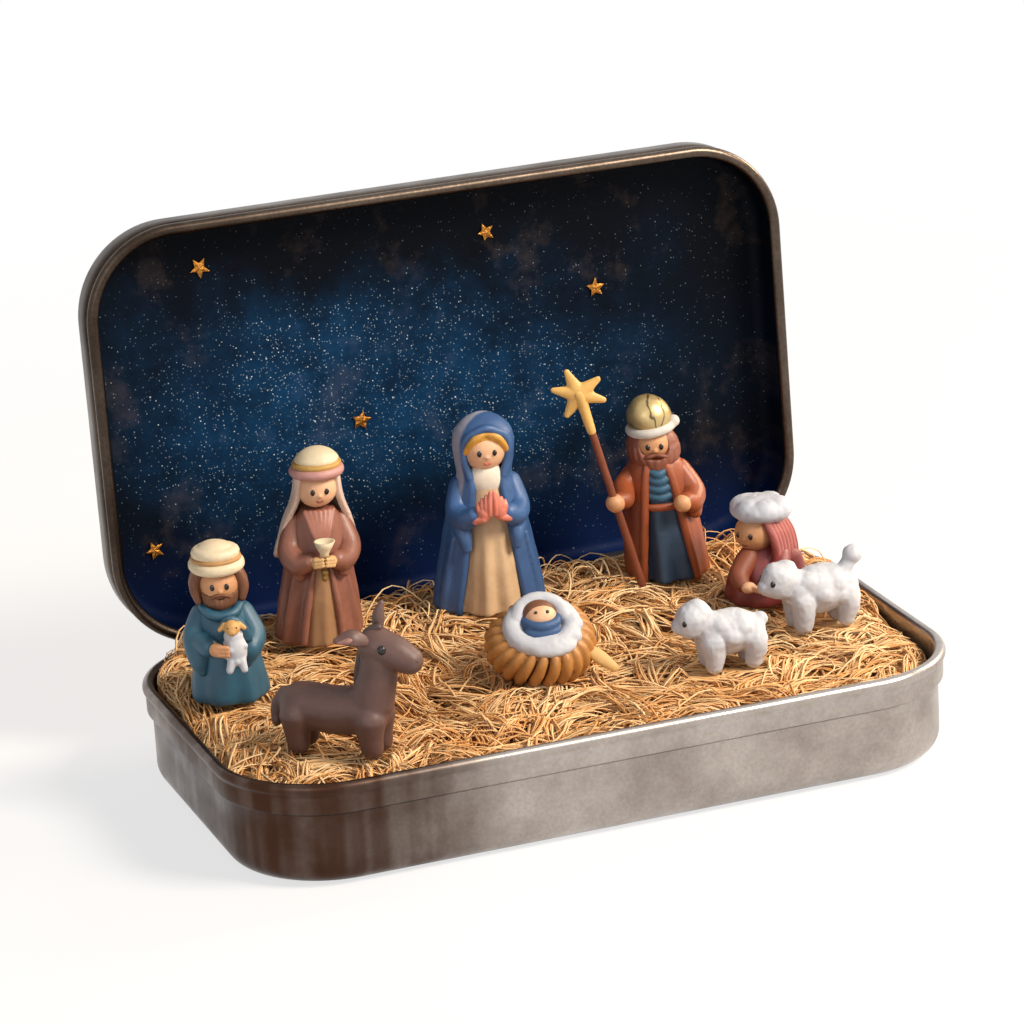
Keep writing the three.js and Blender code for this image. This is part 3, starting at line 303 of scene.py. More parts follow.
lid_section = lid_round(SKIRT + PLATE, LID_PANEL - PLATE, LID_ROUND, False)
lid_section += [(SKIRT + PLATE, 2.6), (SKIRT + PLATE, BEAD)]
lid_section += bead_arc(180, 400, 0)
lid_section += [(0.38, 0.68), (0.45, 0.8), (0.45, 1.2), (0.38, 1.32), (0.2, 1.5), (SKIRT, 1.65), (SKIRT, 3.0)]
lid_section += lid_round(SKIRT, LID_PANEL, LID_ROUND, True)
lid_tray = skin([outline(LID_LENGTH, LID_DEPTH, LID_CORNER, o, z, LID_SHIFT) for o, z in lid_section])


def scratch_solids(shapes):
    made = []
    for verts, faces in shapes:
        mesh = bpy.data.meshes.new("scratch")
        mesh.from_pydata(verts, [], faces)
        made.append(bpy.data.objects.new("scratch", mesh))
        scene.collection.objects.link(made[-1])
    return made


def carve(solid, cutters, solver):
    for cutter in cutters:
        cut = solid.modifiers.new("cut", "BOOLEAN")
        cut.object, cut.operation, cut.solver = cutter, "DIFFERENCE", solver


def cut_slots(shape, boxes):
    scratch = scratch_solids([shape] + boxes)
    carve(scratch[0], scratch[1:], "EXACT")
    done = scratch[0].evaluated_get(bpy.context.evaluated_depsgraph_get()).to_mesh()
    cut_shape = [tuple(v.co) for v in done.vertices], [tuple(p.vertices) for p in done.polygons]
    for made in scratch:
        bpy.data.objects.remove(made)
    return cut_shape


def box_shape(low, high):
    x, y, z = zip(low, high)
    verts = [(x[i], y[j], z[k]) for k in (0, 1) for j in (0, 1) for i in (0, 1)]
    return verts, [(0, 2, 3, 1), (4, 5, 7, 6), (0, 1, 5, 4), (2, 6, 7, 3), (0, 4, 6, 2), (1, 3, 7, 5)]


def round_bar(x, length, radius, sides=20):
    turns = [2 * math.pi * j / sides for j in range(sides)]
    ends = (-length / 2, length / 2)
    return skin([[(x + end, radius * math.cos(a), radius * math.sin(a)) for a in turns] for end in ends])


slotted = cut_slots(lid_tray, [box_shape((x - 4, -2.4, -2), (x + 4, 2, 2.4)) for x in LOOPS])
lid_shape = joined(slotted, *[round_bar(x, 8.6, BEAD) for x in LOOPS])
# The lid's sheet, rubbed and tarnish tones are darker than the base's: partly tarnish, partly a painted dark
# reflection.
lid_plate_painted_dark = worn_tinplate("tinplate_lid_painted_dark", "#463a32", "#75675b", "#1b110a", 0.36, 0.0)
LID_LEAN, PANEL_GAIN = 0.061, 3.4
tree = lid_plate_painted_dark.node_tree
shader = tree.nodes["Principled BSDF"]
# The flat panel is brightened by a fixed factor, so the painted dark tone stays on the skirt and rim.
axes = node(tree, "SeparateXYZ", {0: node(tree, "TexCoord").outputs["Object"]})
depth = node(tree, "Math", {0: axes.outputs["Z"], 1: -LID_LEAN, 2: axes.outputs["Y"]},
    operation="MULTIPLY_ADD")
panel = node(tree, "MapRange", {0: depth, 1: 0.0296, 2: 0.0314, 3: 0.0, 4: 1.0},
    interpolation_type="SMOOTHSTEP")
lid_tarnish_and_painted_dark = shader.inputs["Base Color"].links[0].from_socket
panel_tone = node(tree, "VectorMath", {0: lid_tarnish_and_painted_dark, 3: PANEL_GAIN}, operation="SCALE")
node(tree, "Mix", {0: panel, 6: lid_tarnish_and_painted_dark, 7: panel_tone}, shader.inputs["Base Color"], data_type="RGBA")
lid_tin = put("lid_tin", lid_shape, lid_plate_painted_dark, "lid", ["lid_shell"], lid_place)
lid_tin.data.set_sharp_from_angle(angle=math.radians(35))


# Sky lining: dark blue paint brushed over the lid's inside, brighter where it was wiped thin,
# spattered with white from a stiff brush and dabbed with a little umber haze. The spatter lies on
# the flat panel alone.
LINING, FOIL_GAP = 0.35, 0.15
lining_back, lining_edge = LID_PANEL - PLATE - FOIL_GAP, SKIRT + PLATE + FOIL_GAP
lining_section = lid_round(lining_edge + LINING, lining_back - LINING, LID_ROUND, False)
lining_section += [(lining_edge + LINING, 1.05), (lining_edge, 1.0)]
lining_section += lid_round(lining_edge, lining_back, LID_ROUND, True)
lining_shape = cut_slots(
    skin([outline(LID_LENGTH, LID_DEPTH, LID_CORNER, o, z, LID_SHIFT) for o, z in lining_section]),
    [box_shape((x - 4.2, -2.8, -2), (x + 4.2, 2, 2.7)) for x in LOOPS])

BAND_MM, LEFT_MM = 38.0, 7.0
night, tree, shader = finish("night_sky_paint", 0.55)
shader.inputs["Specular IOR Level"].default_value = 0.06
spot = node(tree, "TexCoord").outputs["Object"]
mm = node(tree, "VectorMath", {0: spot, 1: (1000, 0, 1000)}, operation="MULTIPLY").outputs[0]
axes = node(tree, "SeparateXYZ", {0: mm})
cloud = node(tree, "TexNoise", {"Vector": mm, "Scale": 0.055, "Detail": 6, "Roughness": 0.6})
rise = node(tree, "Math", {0: axes.outputs["Z"], 1: BAND_MM}, operation="SUBTRACT")
slant = node(tree, "Math", {0: axes.outputs["X"], 1: 0.05, 2: rise}, operation="MULTIPLY_ADD")
swirl = node(tree, "MapRange", {0: cloud, 1: 0.3, 2: 0.7, 3: -8.0, 4: 8.0})
lifted = node(tree, "Math", {0: slant, 1: swirl}, operation="ADD")
off_band = node(tree, "Math", {0: lifted}, operation="ABSOLUTE")
band = node(tree, "MapRange", {0: off_band, 1: 23.0, 2: 0.0, 3: 0.0, 4: 1.0}, interpolation_type="SMOOTHSTEP")
aside = node(tree, "Math", {0: axes.outputs["X"], 1: LEFT_MM}, operation="ADD")
from_middle = node(tree, "Math", {0: aside}, operation="ABSOLUTE")
side = node(tree, "MapRange", {0: from_middle, 1: 47.0, 2: 12.0, 3: 0.1, 4: 1.0},
    interpolation_type="SMOOTHSTEP")
glow = node(tree, "Math", {0: band, 1: side}, operation="MULTIPLY")
wiped = node(tree, "TexNoise", {"Vector": mm, "Scale": 0.2, "Detail": 8, "Roughness": 0.7})
thin = node(tree, "MapRange", {0: wiped, 1: 0.34, 2: 0.66, 3: 0.3, 4: 1.0})
bright = node(tree, "Math", {0: glow, 1: thin}, operation="MULTIPLY")
deep = node(tree, "Mix", {0: bright, 6: linear("#03060d"), 7: linear("#0e3a60")}, data_type="RGBA")
foot = node(tree, "MapRange", {0: axes.outputs["Z"], 1: 29.0, 2: 14.0, 3: 0.0, 4: 0.7},
    interpolation_type="SMOOTHSTEP")
lower = node(tree, "Mix", {0: foot, 6: deep, 7: linear("#081f4c")}, data_type="RGBA")
dust = node(tree, "TexNoise", {"Vector": mm, "Scale": 0.1, "Detail": 8, "Roughness": 0.66})
haze = node(tree, "MapRange", {0: dust, 1: 0.54, 2: 0.8, 3: 0.0, 4: 0.42})
painted = node(tree, "Mix", {0: haze, 6: lower, 7: linear("#5a4c44")}, data_type="RGBA")
facing = node(tree, "SeparateXYZ", {0: node(tree, "TexCoord").outputs["Normal"]})
towards = node(tree, "Math", {0: facing.outputs["Y"]}, operation="ABSOLUTE")
panel = node(tree, "MapRange", {0: towards, 1: 0.5, 2: 0.85, 3: 0.0, 4: 1.0})
for cell_mm, size_mm, start, white, crowd, tint in (
    (0.36, 0.09, 0.84, 0.62, glow, "#bcd3e2"), (0.62, 0.105, 0.96, 0.9, glow, "#e6eef3"),
    (2.4, 0.14, 0.9, 0.9, glow, "#f4f6f6"), (0.45, 0.11, 1.0, 0.9, haze, "#c9a06a"),
):
    flecks = node(tree, "TexVoronoi", {"Vector": mm, "Scale": 1 / cell_mm, "Randomness": 1.0})
    dot = node(tree, "MapRange", {0: flecks.outputs["Distance"], 1: size_mm / cell_mm,
            2: 0.35 * size_mm / cell_mm, 3: 0.0, 4: 1.0})
    pick = node(tree, "SeparateColor", {0: flecks.outputs["Color"]})
    dense = node(tree, "Math", {0: crowd, 1: 0.75, 2: pick}, operation="MULTIPLY_ADD")
    kept = node(tree, "MapRange", {0: dense, 1: start, 2: start + 0.4, 3: 0.0, 4: white})
    spatter = node(tree, "Math", {0: kept, 1: panel}, operation="MULTIPLY")
    fleck = node(tree, "Math", {0: dot, 1: spatter}, operation="MULTIPLY")
    painted = node(tree, "Mix", {0: fleck, 6: painted, 7: linear(tint)}, data_type="RGBA")
tree.links.new(result(painted), shader.inputs["Base Color"])
node(tree, "Bump", {"Strength": 0.15, "Distance": 0.0002, "Height": wiped}, shader.inputs["Normal"])
put("sky_lining", lining_shape, night, "lid", ["sky_liner"], lid_place).data.set_sharp_from_angle(angle=math.radians(40))


# Foil stars: cut from thin gilt leaf and pressed on by hand, so the points are uneven and the
# surface is crinkled.
STARS = (
    (-30.5, 46.5, 1.45), (8, 45.5, 1.3), (22.5, 36, 1.45),
    (-11, 23.5, 1.5), (6.5, 14.5, 1.3), (-40, 11, 1.35),
)
CORNERS = 10
gilt, tree, shader = finish("crinkled_gilt_leaf", 0.38, 1.0)
spot = node(tree, "TexCoord").outputs["Object"]
crinkle = node(tree, "TexNoise", {"Vector": spot, "Scale": 1500, "Detail": 4})
node(tree, "Mix", {0: crinkle, 6: linear("#6e3d12"), 7: linear("#cf8f42")}, shader.inputs["Base Color"],
    data_type="RGBA")
node(tree, "Bump", {"Strength": 0.8, "Distance": 0.0004, "Height": crinkle}, shader.inputs["Normal"])
random.seed(11)
for i, (across, up, point) in enumerate(STARS):
    front = lining_back - LINING - FOIL_GAP
    rim = []
    for j in range(CORNERS):
        a = math.radians(90 + 36 * j + 17 * i + random.uniform(-6, 6))
        r = point * (random.uniform(0.82, 1.0) if j % 2 == 0 else random.uniform(0.4, 0.5))
        rim.append((across + r * math.cos(a), -up + r * math.sin(a)))
    verts = [(x, y, front) for x, y in rim] + [(x, y, front - 0.12) for x, y in rim]
    verts += [(across, -up, front - 0.25), (across, -up, front)]
    pairs = [(j, (j + 1) % CORNERS) for j in range(CORNERS)]
    faces = [(CORNERS + j, 2 * CORNERS, CORNERS + k) for j, k in pairs]
    faces += [(j, k, 2 * CORNERS + 1) for j, k in pairs]
    faces += [(j, CORNERS + j, CORNERS + k, k) for j, k in pairs]
    put(f"gilt_star_{i + 1}", (verts, faces), gilt, "lid", [f"foil_star_{i + 1}"], lid_place, smooth=False)


# Straw: fine curled wood wool, packed loosely to the rim and heaped towards the back, so the
# figures stand in it. The shavings lie in locks that bend together, with loose ends over them.
STANDS = {
    "shepherd": (-39, 5.6, -14, 5, "shepherd_robe"),
    "bearer": (-23.6, 17, -10, 5.8, "bearer_robe"),
    "mother": (-0.4, 17.4, -12, 6.4, "mother_mantle"),
    "king": (24.4, 17.4, -16, 5, "king_coat"),
    "kneeler": (33, 6.2, -20, 4.8, "kneeler_robe"),
    "donkey": (-31.4, -14.4, -41, 5.6, "donkey_body"),
    "front_sheep": (19.6, -11.2, 174, 5, "front_sheep_body"),
    "rear_sheep": (35.3, -5, 182, 5, "rear_sheep_body"),
    "manger": (-1, -3.2, -14, 5, "manger_basket"),
}
foot_level = {key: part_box(stand[4])[0].z * 1000 for key, stand in STANDS.items()}
BED_LEVEL, REAR_SLOPE, FRONT_SLOPE = 12.2, 0.125, 0.07
RIDGE_STEP, RIDGE_HEIGHT, EDGE_REACH, EDGE_DIP, WALL_GAP = 7.5, 0.55, 4, 1.3, 0.5


def wall_distance(x, y):
    corner = TIN_CORNER - inner
    qx = abs(x) - (TIN_LENGTH / 2 - TIN_CORNER)
    qy = abs(y) - (TIN_DEPTH / 2 - TIN_CORNER)
    return corner - math.hypot(max(qx, 0), max(qy, 0)) - min(max(qx, qy), 0)


def bed_height(x, y):
    slope = REAR_SLOPE if y > 0 else FRONT_SLOPE
    level = BED_LEVEL + slope * y + 0.18 * math.sin(0.21 * x + 1) * math.cos(0.27 * y)
    room = max(0.0, wall_distance(x, y))
    clear = min(1.0, room / EDGE_REACH)
    for fx, fy, _, reach, _ in STANDS.values():
        clear = min(clear, max(0.0, (math.hypot(x - fx, y - fy) - reach) / 2.5))
    wave = math.sin(2 * math.pi / RIDGE_STEP * (y + 0.3 * x) + 1.4 * math.sin(0.13 * x))
    ridge = wave * math.cos(0.16 * x - 0.1 * y)
    return level + RIDGE_HEIGHT * clear * ridge - EDGE_DIP * max(0.0, 1 - room / EDGE_REACH) ** 2


def even(ring, count):
    loop = [Vector(p) for p in ring] + [Vector(ring[0])]
    along = [0.0]
    for a, b in zip(loop, loop[1:]):
        along.append(along[-1] + (b - a).length)
    points, k = [], 0
    for i in range(count):
        want = along[-1] * i / count
        while along[k + 1] < want:
            k += 1
        points.append(loop[k].lerp(loop[k + 1], (want - along[k]) / max(along[k + 1] - along[k], 1e-6)))
    return points


edge = even(outline(TIN_LENGTH, TIN_DEPTH, TIN_CORNER, inner + 0.35, 0), 180)
bed_rings = [[(p.x * 0.97, p.y * 0.95, 0.9) for p in edge], [(p.x, p.y, 3.6) for p in edge]]
SPINE, BED_STEPS = 19.7, 30
for i in range(BED_STEPS):
    draw = i / BED_STEPS
    ring = []
    for p in edge:
        spine = max(-SPINE, min(SPINE, p.x))
        x, y = p.x + (spine - p.x) * draw, p.y * (1 - draw)
        ring.append((x, y, bed_height(x, y) - 0.45 + 0.25 * noise.noise((x * 0.6, y * 0.6, 3))))
    bed_rings.append(ring)


def fibre(points, width, thickness):
    rings, corners = [], ((1, 0), (0, 1), (-1, 0))
    for i, p in enumerate(points):
        a, b = Vector(points[max(i - 1, 0)]), Vector(points[min(i + 1, len(points) - 1)])
        run = (b - a).normalized()
        across = run.cross((0, 0, 1)).normalized()
        rise = across.cross(run)
        taper = 0.4 if i in (0, len(points) - 1) else 1.0
        rings.append([
            tuple(Vector(p) + across * s * width * taper + rise * t * thickness) for s, t in corners])
    return skin(rings)


def lay_lock(x, y, heading, length, count, spread, lift, arch, curl):
    lock = []
    flare, steps = random.uniform(0.2, 1.6), 9
    for i in range(count):
        offset = random.uniform(-spread, spread)
        own = length * random.uniform(0.65, 1.1)
        own_arch = arch * random.uniform(0.6, 1.2)
        own_lift = lift + random.uniform(-0.12, 0.12)
        bend = curl + random.gauss(0, 0.16)
        slip = random.gauss(0, 0.13) * length
        points = []
        for j in range(steps):
            t = j / (steps - 1)
            along = (t - 0.5) * own + slip
            turn = heading + 0.5 * bend * along / length
            side = offset * (1 + flare * abs(t - 0.5)) + 0.12 * math.sin(9 * t + 5 * offset)
            px = x + along * math.cos(turn) - side * math.sin(turn)
            py = y + along * math.sin(turn) + side * math.cos(turn)
            while wall_distance(px, py) < WALL_GAP:
                px, py = px * 0.99, py * 0.98
            sag = 0.5 * abs(2 * t - 1) ** 3
            level = bed_height(px, py) + own_lift + own_arch * math.sin(math.pi * t) - sag
            for key, (fx, fy, _, reach, _) in STANDS.items():
                gap = math.hypot(px - fx, py - fy) - reach
                if gap < 0.5:
                    level = min(level, foot_level[key] - 0.12)
                elif gap < 2.4:
                    level += 0.4 * (1 - abs(gap - 1.3))
            points.append((px, py, level))
        lock.append(fibre(points, random.uniform(0.1, 0.2), random.uniform(0.08, 0.13)))
    return lock


random.seed(5)
straw_parts = []
flat_locks = (330, 10, 1.6, (-0.4, -0.1), (0.0, 0.3), (9, 17))
bent_locks = (250, 9, 1.0, (-0.1, 0.35), (0.2, 0.9), (7, 14))
raised_locks = (130, 8, 0.75, (0.15, 0.6), (0.5, 1.5), (6, 11))
single_ends = (300, 1, 0.5, (0.1, 0.6), (0.2, 1.6), (7, 18))
for locks, count, spread, lift, arch, length in (flat_locks, bent_locks, raised_locks, single_ends):
    for i in range(locks):
        while True:
            x, y = random.uniform(-45, 45), random.uniform(-25.6, 25.6)
            if wall_distance(x, y) > 1.2:
                break
        heading = -0.25 + 3.2 * noise.noise((x * 0.085, y * 0.085, 8)) + random.gauss(0, 0.4)
        size = random.uniform(*length)
        straw_parts += lay_lock(x, y, heading, size, count, spread, random.uniform(*lift),
            random.uniform(*arch), random.gauss(0, 1.6))
for p in even(outline(TIN_LENGTH, TIN_DEPTH, TIN_CORNER, inner + 1.8, 0), 110):
    if abs(p.x) > 38 and abs(p.y) > 18:
        along = math.atan2(p.y, p.x) + math.pi / 2
    else:
        along = 0.0 if abs(p.y) > 20 else math.pi / 2
    straw_parts += lay_lock(p.x, p.y, along + random.gauss(0, 0.35), random.uniform(6, 11), 8, 1.2,
        random.uniform(-0.2, 0.2), random.uniform(0.0, 0.5), random.gauss(0, 0.9))
ARCHED_ENDS = 90
for i in range(ARCHED_ENDS):
    x = random.choice((random.uniform(-16, -8), random.uniform(8, 18), random.uniform(30, 42),
            random.uniform(-40, -31)))
    y = random.uniform(19.5, 24)
    straw_parts += lay_lock(x, y, random.uniform(0, math.pi), random.uniform(6, 12), 1, 0.4, 0.2,
        random.uniform(1.0, 3.6), random.gauss(0, 2.2))
straw_shape = joined(*straw_parts)

# Wood wool: dry pale shavings, each its own tone from tan to straw gold, a little glossy where the
# blade cut. The packing below is coloured dark brown as the same shavings in painted shade, so the
# gaps look deep.
wood_wool, tree, shader = finish("dry_wood_wool", 0.55)
spot = node(tree, "TexCoord").outputs["Object"]
lot = node(tree, "NewGeometry")
tone = node(tree, "Mix", {0: lot.outputs["Random Per Island"], 6: linear("#c98a47"), 7: linear("#ffe2b0")},
    data_type="RGBA")
patch = node(tree, "TexNoise", {"Vector": spot, "Scale": 90, "Detail": 3})
shade = node(tree, "MapRange", {0: patch, 1: 0.35, 2: 0.68, 3: 0.0, 4: 0.5})
node(tree, "Mix", {0: shade, 6: tone, 7: linear("#dc994e")}, shader.inputs["Base Color"], data_type="RGBA")
grain = node(tree, "TexNoise", {"Vector": spot, "Scale": 2500, "Detail": 2})
node(tree, "Bump", {"Strength": 0.3, "Distance": 0.0001, "Height": grain}, shader.inputs["Normal"])
put("straw_fibres", straw_shape, wood_wool, "tin_base")

# Painted shade: the packing is dark brown so the gaps between shavings look deep.
packing_painted_shade, tree, shader = finish("wood_wool_painted_shade", 0.85)
spot = node(tree, "TexCoord").outputs["Object"]
weave = node(tree, "TexNoise", {"Vector": spot, "Scale": 700, "Detail": 6, "Roughness": 0.7})
node(tree, "Mix", {0: weave, 6: linear("#2f1b0a"), 7: linear("#a06b33")}, shader.inputs["Base Color"],
    data_type="RGBA")
node(tree, "Bump", {"Strength": 1.0, "Distance": 0.0006, "Height": weave}, shader.inputs["Normal"])
put("straw_packing", skin(bed_rings), packing_painted_shade, "tin_base", ["straw_bed"])


# Shepherd with a lamb: polymer clay, each colour shaped by itself and pressed on before baking.
# A bell-sleeved robe, a two-roll turban, hair and beard in strands, a lamb held in one hand.
def egg(centre, radii, turn=(0, 0, 0), rows=18, sides=28):
    spin = Euler([math.radians(t) for t in turn]).to_matrix()
    rings = []
    for i in range(rows + 1):
        a = math.pi * (0.02 + 0.96 * i / rows)
        ring = []
        for j in range(sides):
            b = 2 * math.pi * j / sides
            x, y = radii[0] * math.sin(a) * math.cos(b), radii[1] * math.sin(a) * math.sin(b)
            p = Vector((x, y, -radii[2] * math.cos(a)))
            ring.append(tuple(Vector(centre) + spin @ p))
        rings.append(ring)
    return skin(rings)


def between(rows, steps):
    rows = [Vector(r) for r in rows]
    rows = [rows[0]] + rows + [rows[-1]]
    line = []
    for p0, p1, p2, p3 in zip(rows, rows[1:], rows[2:], rows[3:]):
        for t in (s / steps for s in range(steps)):
            square = (2 * p0 - 5 * p1 + 4 * p2 - p3) * t * t
            line.append(0.5 * (2 * p1 + (p2 - p0) * t + square + (3 * p1 - p0 - 3 * p2 + p3) * t ** 3))
    return line + [rows[-1]]


def limb(*knots, flat=1.0, sides=16, steps=7):
    line = between(knots, steps)
    spots = [Vector(k[:3]) for k in line]
    rings, run, normal = [], None, None
    for i, spot in enumerate(spots):
        ahead = (spots[min(i + 1, len(spots) - 1)] - spots[max(i - 1, 0)]).normalized()
        normal = ahead.orthogonal().normalized() if run is None else run.rotation_difference(ahead) @ normal
        run, r = ahead, max(line[i][3], 0.05)
        other = run.cross(normal)
        domes = [(-1, a) for a in (75, 50, 25)] if i == 0 else []
        domes += [(0, 0)]
        domes += [(1, a) for a in (25, 50, 75)] if i == len(spots) - 1 else []
        for sign, a in domes:
            reach, size = sign * r * math.sin(math.radians(a)), r * math.cos(math.radians(a))
            ring = []
            for b in (2 * math.pi * j / sides for j in range(sides)):
                side = normal * size * math.cos(b)
                ring.append(tuple(spot + run * reach + side + other * size * flat * math.sin(b)))
            rings.append(ring)
    return skin(rings)


def drape(rows, folds=(), sides=72, steps=5):
    rings = []
    for z, rx, ry, ox, oy in between(rows, steps):
        fade = 1 - z / rows[-1][0]
        ring = []
        for j in range(sides):
            a = 2 * math.pi * j / sides
            k = 1 + sum(depth * fade * math.cos(count * a + phase) for count, depth, phase in folds)
            ring.append((ox + rx * k * math.cos(a), oy + ry * k * math.sin(a), z))
        rings.append(ring)
    return skin(rings)


def roll(centre, radii, tube, turn=(0, 0, 0), flat=1.0, sides=48, around=14):
    spin = Euler([math.radians(t) for t in turn]).to_matrix()
    rings = []
    for i in range(sides):
        a = 2 * math.pi * i / sides
        ring = []
        for j in range(around):
            b = 2 * math.pi * j / around
            out = tube * math.cos(b)
            x, y = (radii[0] + out) * math.cos(a), (radii[1] + out) * math.sin(a)
            p = Vector((x, y, tube * flat * math.sin(b)))
            ring.append(tuple(Vector(centre) + spin @ p))
        rings.append(ring)
    return skin(rings, closed=True)


def sculpt(parts, cuts=(), voxel=0.2, soften=5, dents=0.05):
    scratch = scratch_solids([joined(*parts), *cuts])
    lump = scratch[0]
    fuse = lump.modifiers.new("fuse", "REMESH")
    fuse.mode, fuse.voxel_size = "VOXEL", voxel
    carve(lump, scratch[1:], "FAST")
    if cuts:
        knit = lump.modifiers.new("knit", "REMESH")
        knit.mode, knit.voxel_size = "VOXEL", voxel
    rub = lump.modifiers.new("rub", "SMOOTH")
    rub.iterations, rub.factor = soften, 0.5
    done = lump.evaluated_get(bpy.context.evaluated_depsgraph_get()).to_mesh()
    verts = []
    for v in done.vertices:
        push = dents * noise.noise(v.co * 0.45) + 0.3 * dents * noise.noise(v.co * 1.7)
        verts.append(tuple(v.co + v.normal * push))
    faces = [tuple(p.vertices) for p in done.polygons]
    for made in scratch:
        bpy.data.objects.remove(made)
    return verts, faces


# Polymer clay: matt and slightly waxy, kneaded unevenly over about 3 mm, with a fine skin of
# fingerprints. Every crease and hollow is darkened with painted shade, in the dark tone that the
# kneading also mottles towards.
def clay(name, colour, mottle_and_shade_colour, roughness=0.58, grain_mm=0.22):
    made, tree, shader = finish(name, roughness)
    spot = node(tree, "TexCoord").outputs["Object"]
    knead = node(tree, "TexNoise", {"Vector": spot, "Scale": 330, "Detail": 4, "Roughness": 0.6})
    uneven = node(tree, "MapRange", {0: knead, 1: 0.38, 2: 0.7, 3: 0.0, 4: 0.28})
    body = node(tree, "Mix", {0: uneven, 6: linear(colour), 7: linear(mottle_and_shade_colour)}, data_type="RGBA")
    form = node(tree, "NewGeometry")
    # Painted shade: hollows, found by the mesh's pointiness, are mixed towards the dark colour.
    fold_painted_shade = node(tree, "MapRange", {0: form.outputs["Pointiness"], 1: 0.49, 2: 0.43, 3: 0.0, 4: 0.85})
    node(tree, "Mix", {0: fold_painted_shade, 6: body, 7: linear(mottle_and_shade_colour)}, shader.inputs["Base Color"], data_type="RGBA")
    skin_noise = node(tree, "TexNoise", {"Vector": spot, "Scale": 1000 / grain_mm, "Detail": 3})
    node(tree, "Bump", {"Strength": 0.16, "Distance": 0.0001, "Height": skin_noise}, shader.inputs["Normal"])
    return made


def group(key, lean=0.0):
    x, y, turn = STANDS[key][:3]
    tilt = Matrix(((1, 0, lean, 0), (0, 1, 0, 0), (0, 0, 1, 0), (0, 0, 0, 1)))
    place = Matrix.Translation((x, y, foot_level[key])) @ Matrix.Rotation(math.radians(turn), 4, "Z") @ tilt

    def press(name, shape, colour, slot=None, *nodes):
        put(name, shape, colour, key, nodes, place)
    return press


dark_bead = clay("black_glazed_clay", "#17110e", "#0a0706", 0.2)
tan_skin = clay("tan_skin_clay", "#cb9468", "#935a38", 0.5)
cream_clay = clay("cream_clay", "#e0cfb0", "#a5845a", 0.5)
white_clay = clay("white_clay", "#c6c8cf", "#7d8292", 0.62, 0.35)
hair_brown = clay("brown_hair_clay", "#70452b", "#3f2212")


def head(press, name, centre, radii, skin_clay, slot, look=0.0, lip="#8a4a38"):
    turn = Matrix.Rotation(math.radians(look), 3, "Z")
    nose_at = Vector(centre) + turn @ Vector((0, -radii[1] * 0.97, -radii[2] * 0.16))
    lump = sculpt([egg(centre, radii), egg(nose_at, (0.32, 0.3, 0.3), rows=8, sides=12)], voxel=0.15)
    press(f"{name}_head_clay", lump, skin_clay, slot, f"{name}_head")
    beads, lips = [], []
    for side in (-1, 1):
        a, b = side * 0.36, 0.04
        p = Vector((radii[0] * math.sin(a), -radii[1] * math.cos(a) * math.cos(b), radii[2] * b))
        beads.append(egg(Vector(centre) + turn @ p, (0.3, 0.22, 0.4), rows=10, sides=14))
    for side in (-1, 1):
        a = side * 0.13
        p = Vector((radii[0] * math.sin(a), -radii[1] * 0.9, -radii[2] * 0.46))
        lips.append(Vector(centre) + turn @ p)
    middle = Vector(centre) + turn @ Vector((0, -radii[1] * 0.91, -radii[2] * 0.5))
    smile = limb((*lips[0], 0.12), (*middle, 0.14), (*lips[1], 0.12), sides=8, steps=4)
    press(f"{name}_eyes", joined(*beads), dark_bead)
    press(f"{name}_mouth", smile, clay(f"{name}_lip_clay", lip, "#5a2a20"))


press = group("shepherd", -0.027)
robe_rows = [
    (0, 4.5, 4.1, 0, 0.2), (0.7, 4.75, 4.35, 0, 0.2), (3, 4.5, 4.1, 0, 0.1), (7, 3.8, 3.4, 0, 0),
    (10, 3.3, 3.0, 0, 0), (11.6, 2.7, 2.5, 0, 0), (12.6, 1.8, 1.7, 0, 0),
]
robe = [
    drape(robe_rows, ((7, 0.045, 0.6), (12, 0.016, 0))),
    limb((-2.3, -1.0, 12.2, 0.55), (-1.4, -2.6, 11.6, 0.6), (0.2, -3.1, 11.4, 0.6), (1.6, -2.6, 11.7, 0.6),
        (2.4, -1.0, 12.3, 0.55)),
]
sleeves = [
    limb((-2.5, 0.2, 10.7, 1.45), (-3.4, -1.0, 8.2, 1.7), (-3.3, -2.0, 5.6, 1.4), (-3.1, -2.4, 4.3, 0.7)),
    limb((-3.1, -1.4, 8.2, 1.5), (-2.1, -3.7, 7.8, 1.3)),
    limb((2.5, 0.2, 10.7, 1.45), (3.4, -1.0, 8.2, 1.7), (2.9, -2.8, 6.8, 1.45), (2.4, -3.2, 5.4, 0.8)),
    limb((-0.3, -4.0, 10.4, 0.45), (0.7, -4.6, 11.5, 0.5), (2.0, -4.4, 10.6, 0.6), (2.7, -3.8, 8.8, 0.7)),
]
teal = clay("teal_clay", "#2a586e", "#102a38", 0.46)
press("shepherd_robe_clay", sculpt(robe, soften=3), teal, "clay_teal", "shepherd_robe")
press("shepherd_sleeves_clay", sculpt(sleeves, soften=3, voxel=0.16), teal, "clay_teal")
head(press, "shepherd", (0, -0.4, 14.9), (2.5, 2.4, 2.45), tan_skin, "clay_tan_skin")
locks = [egg((0, 0.5, 14.9), (2.95, 2.65, 2.75))]
for side in (-1, 1):
    for i in range(4):
        locks.append(limb((side * 2.3, -0.9 + 0.6 * i, 16.6, 0.6), (side * 3.0, -1.0 + 0.6 * i, 14.7, 0.68),
                (side * 2.7, -1.3 + 0.7 * i, 13.0, 0.5)))
opening = egg((0, -3.6, 14.95), (2.5, 2.75, 2.6))
press("shepherd_hair_clay", sculpt(locks, [opening], 0.15, 2), hair_brown, "clay_brown_hair",
    "shepherd_beard")
beard = []
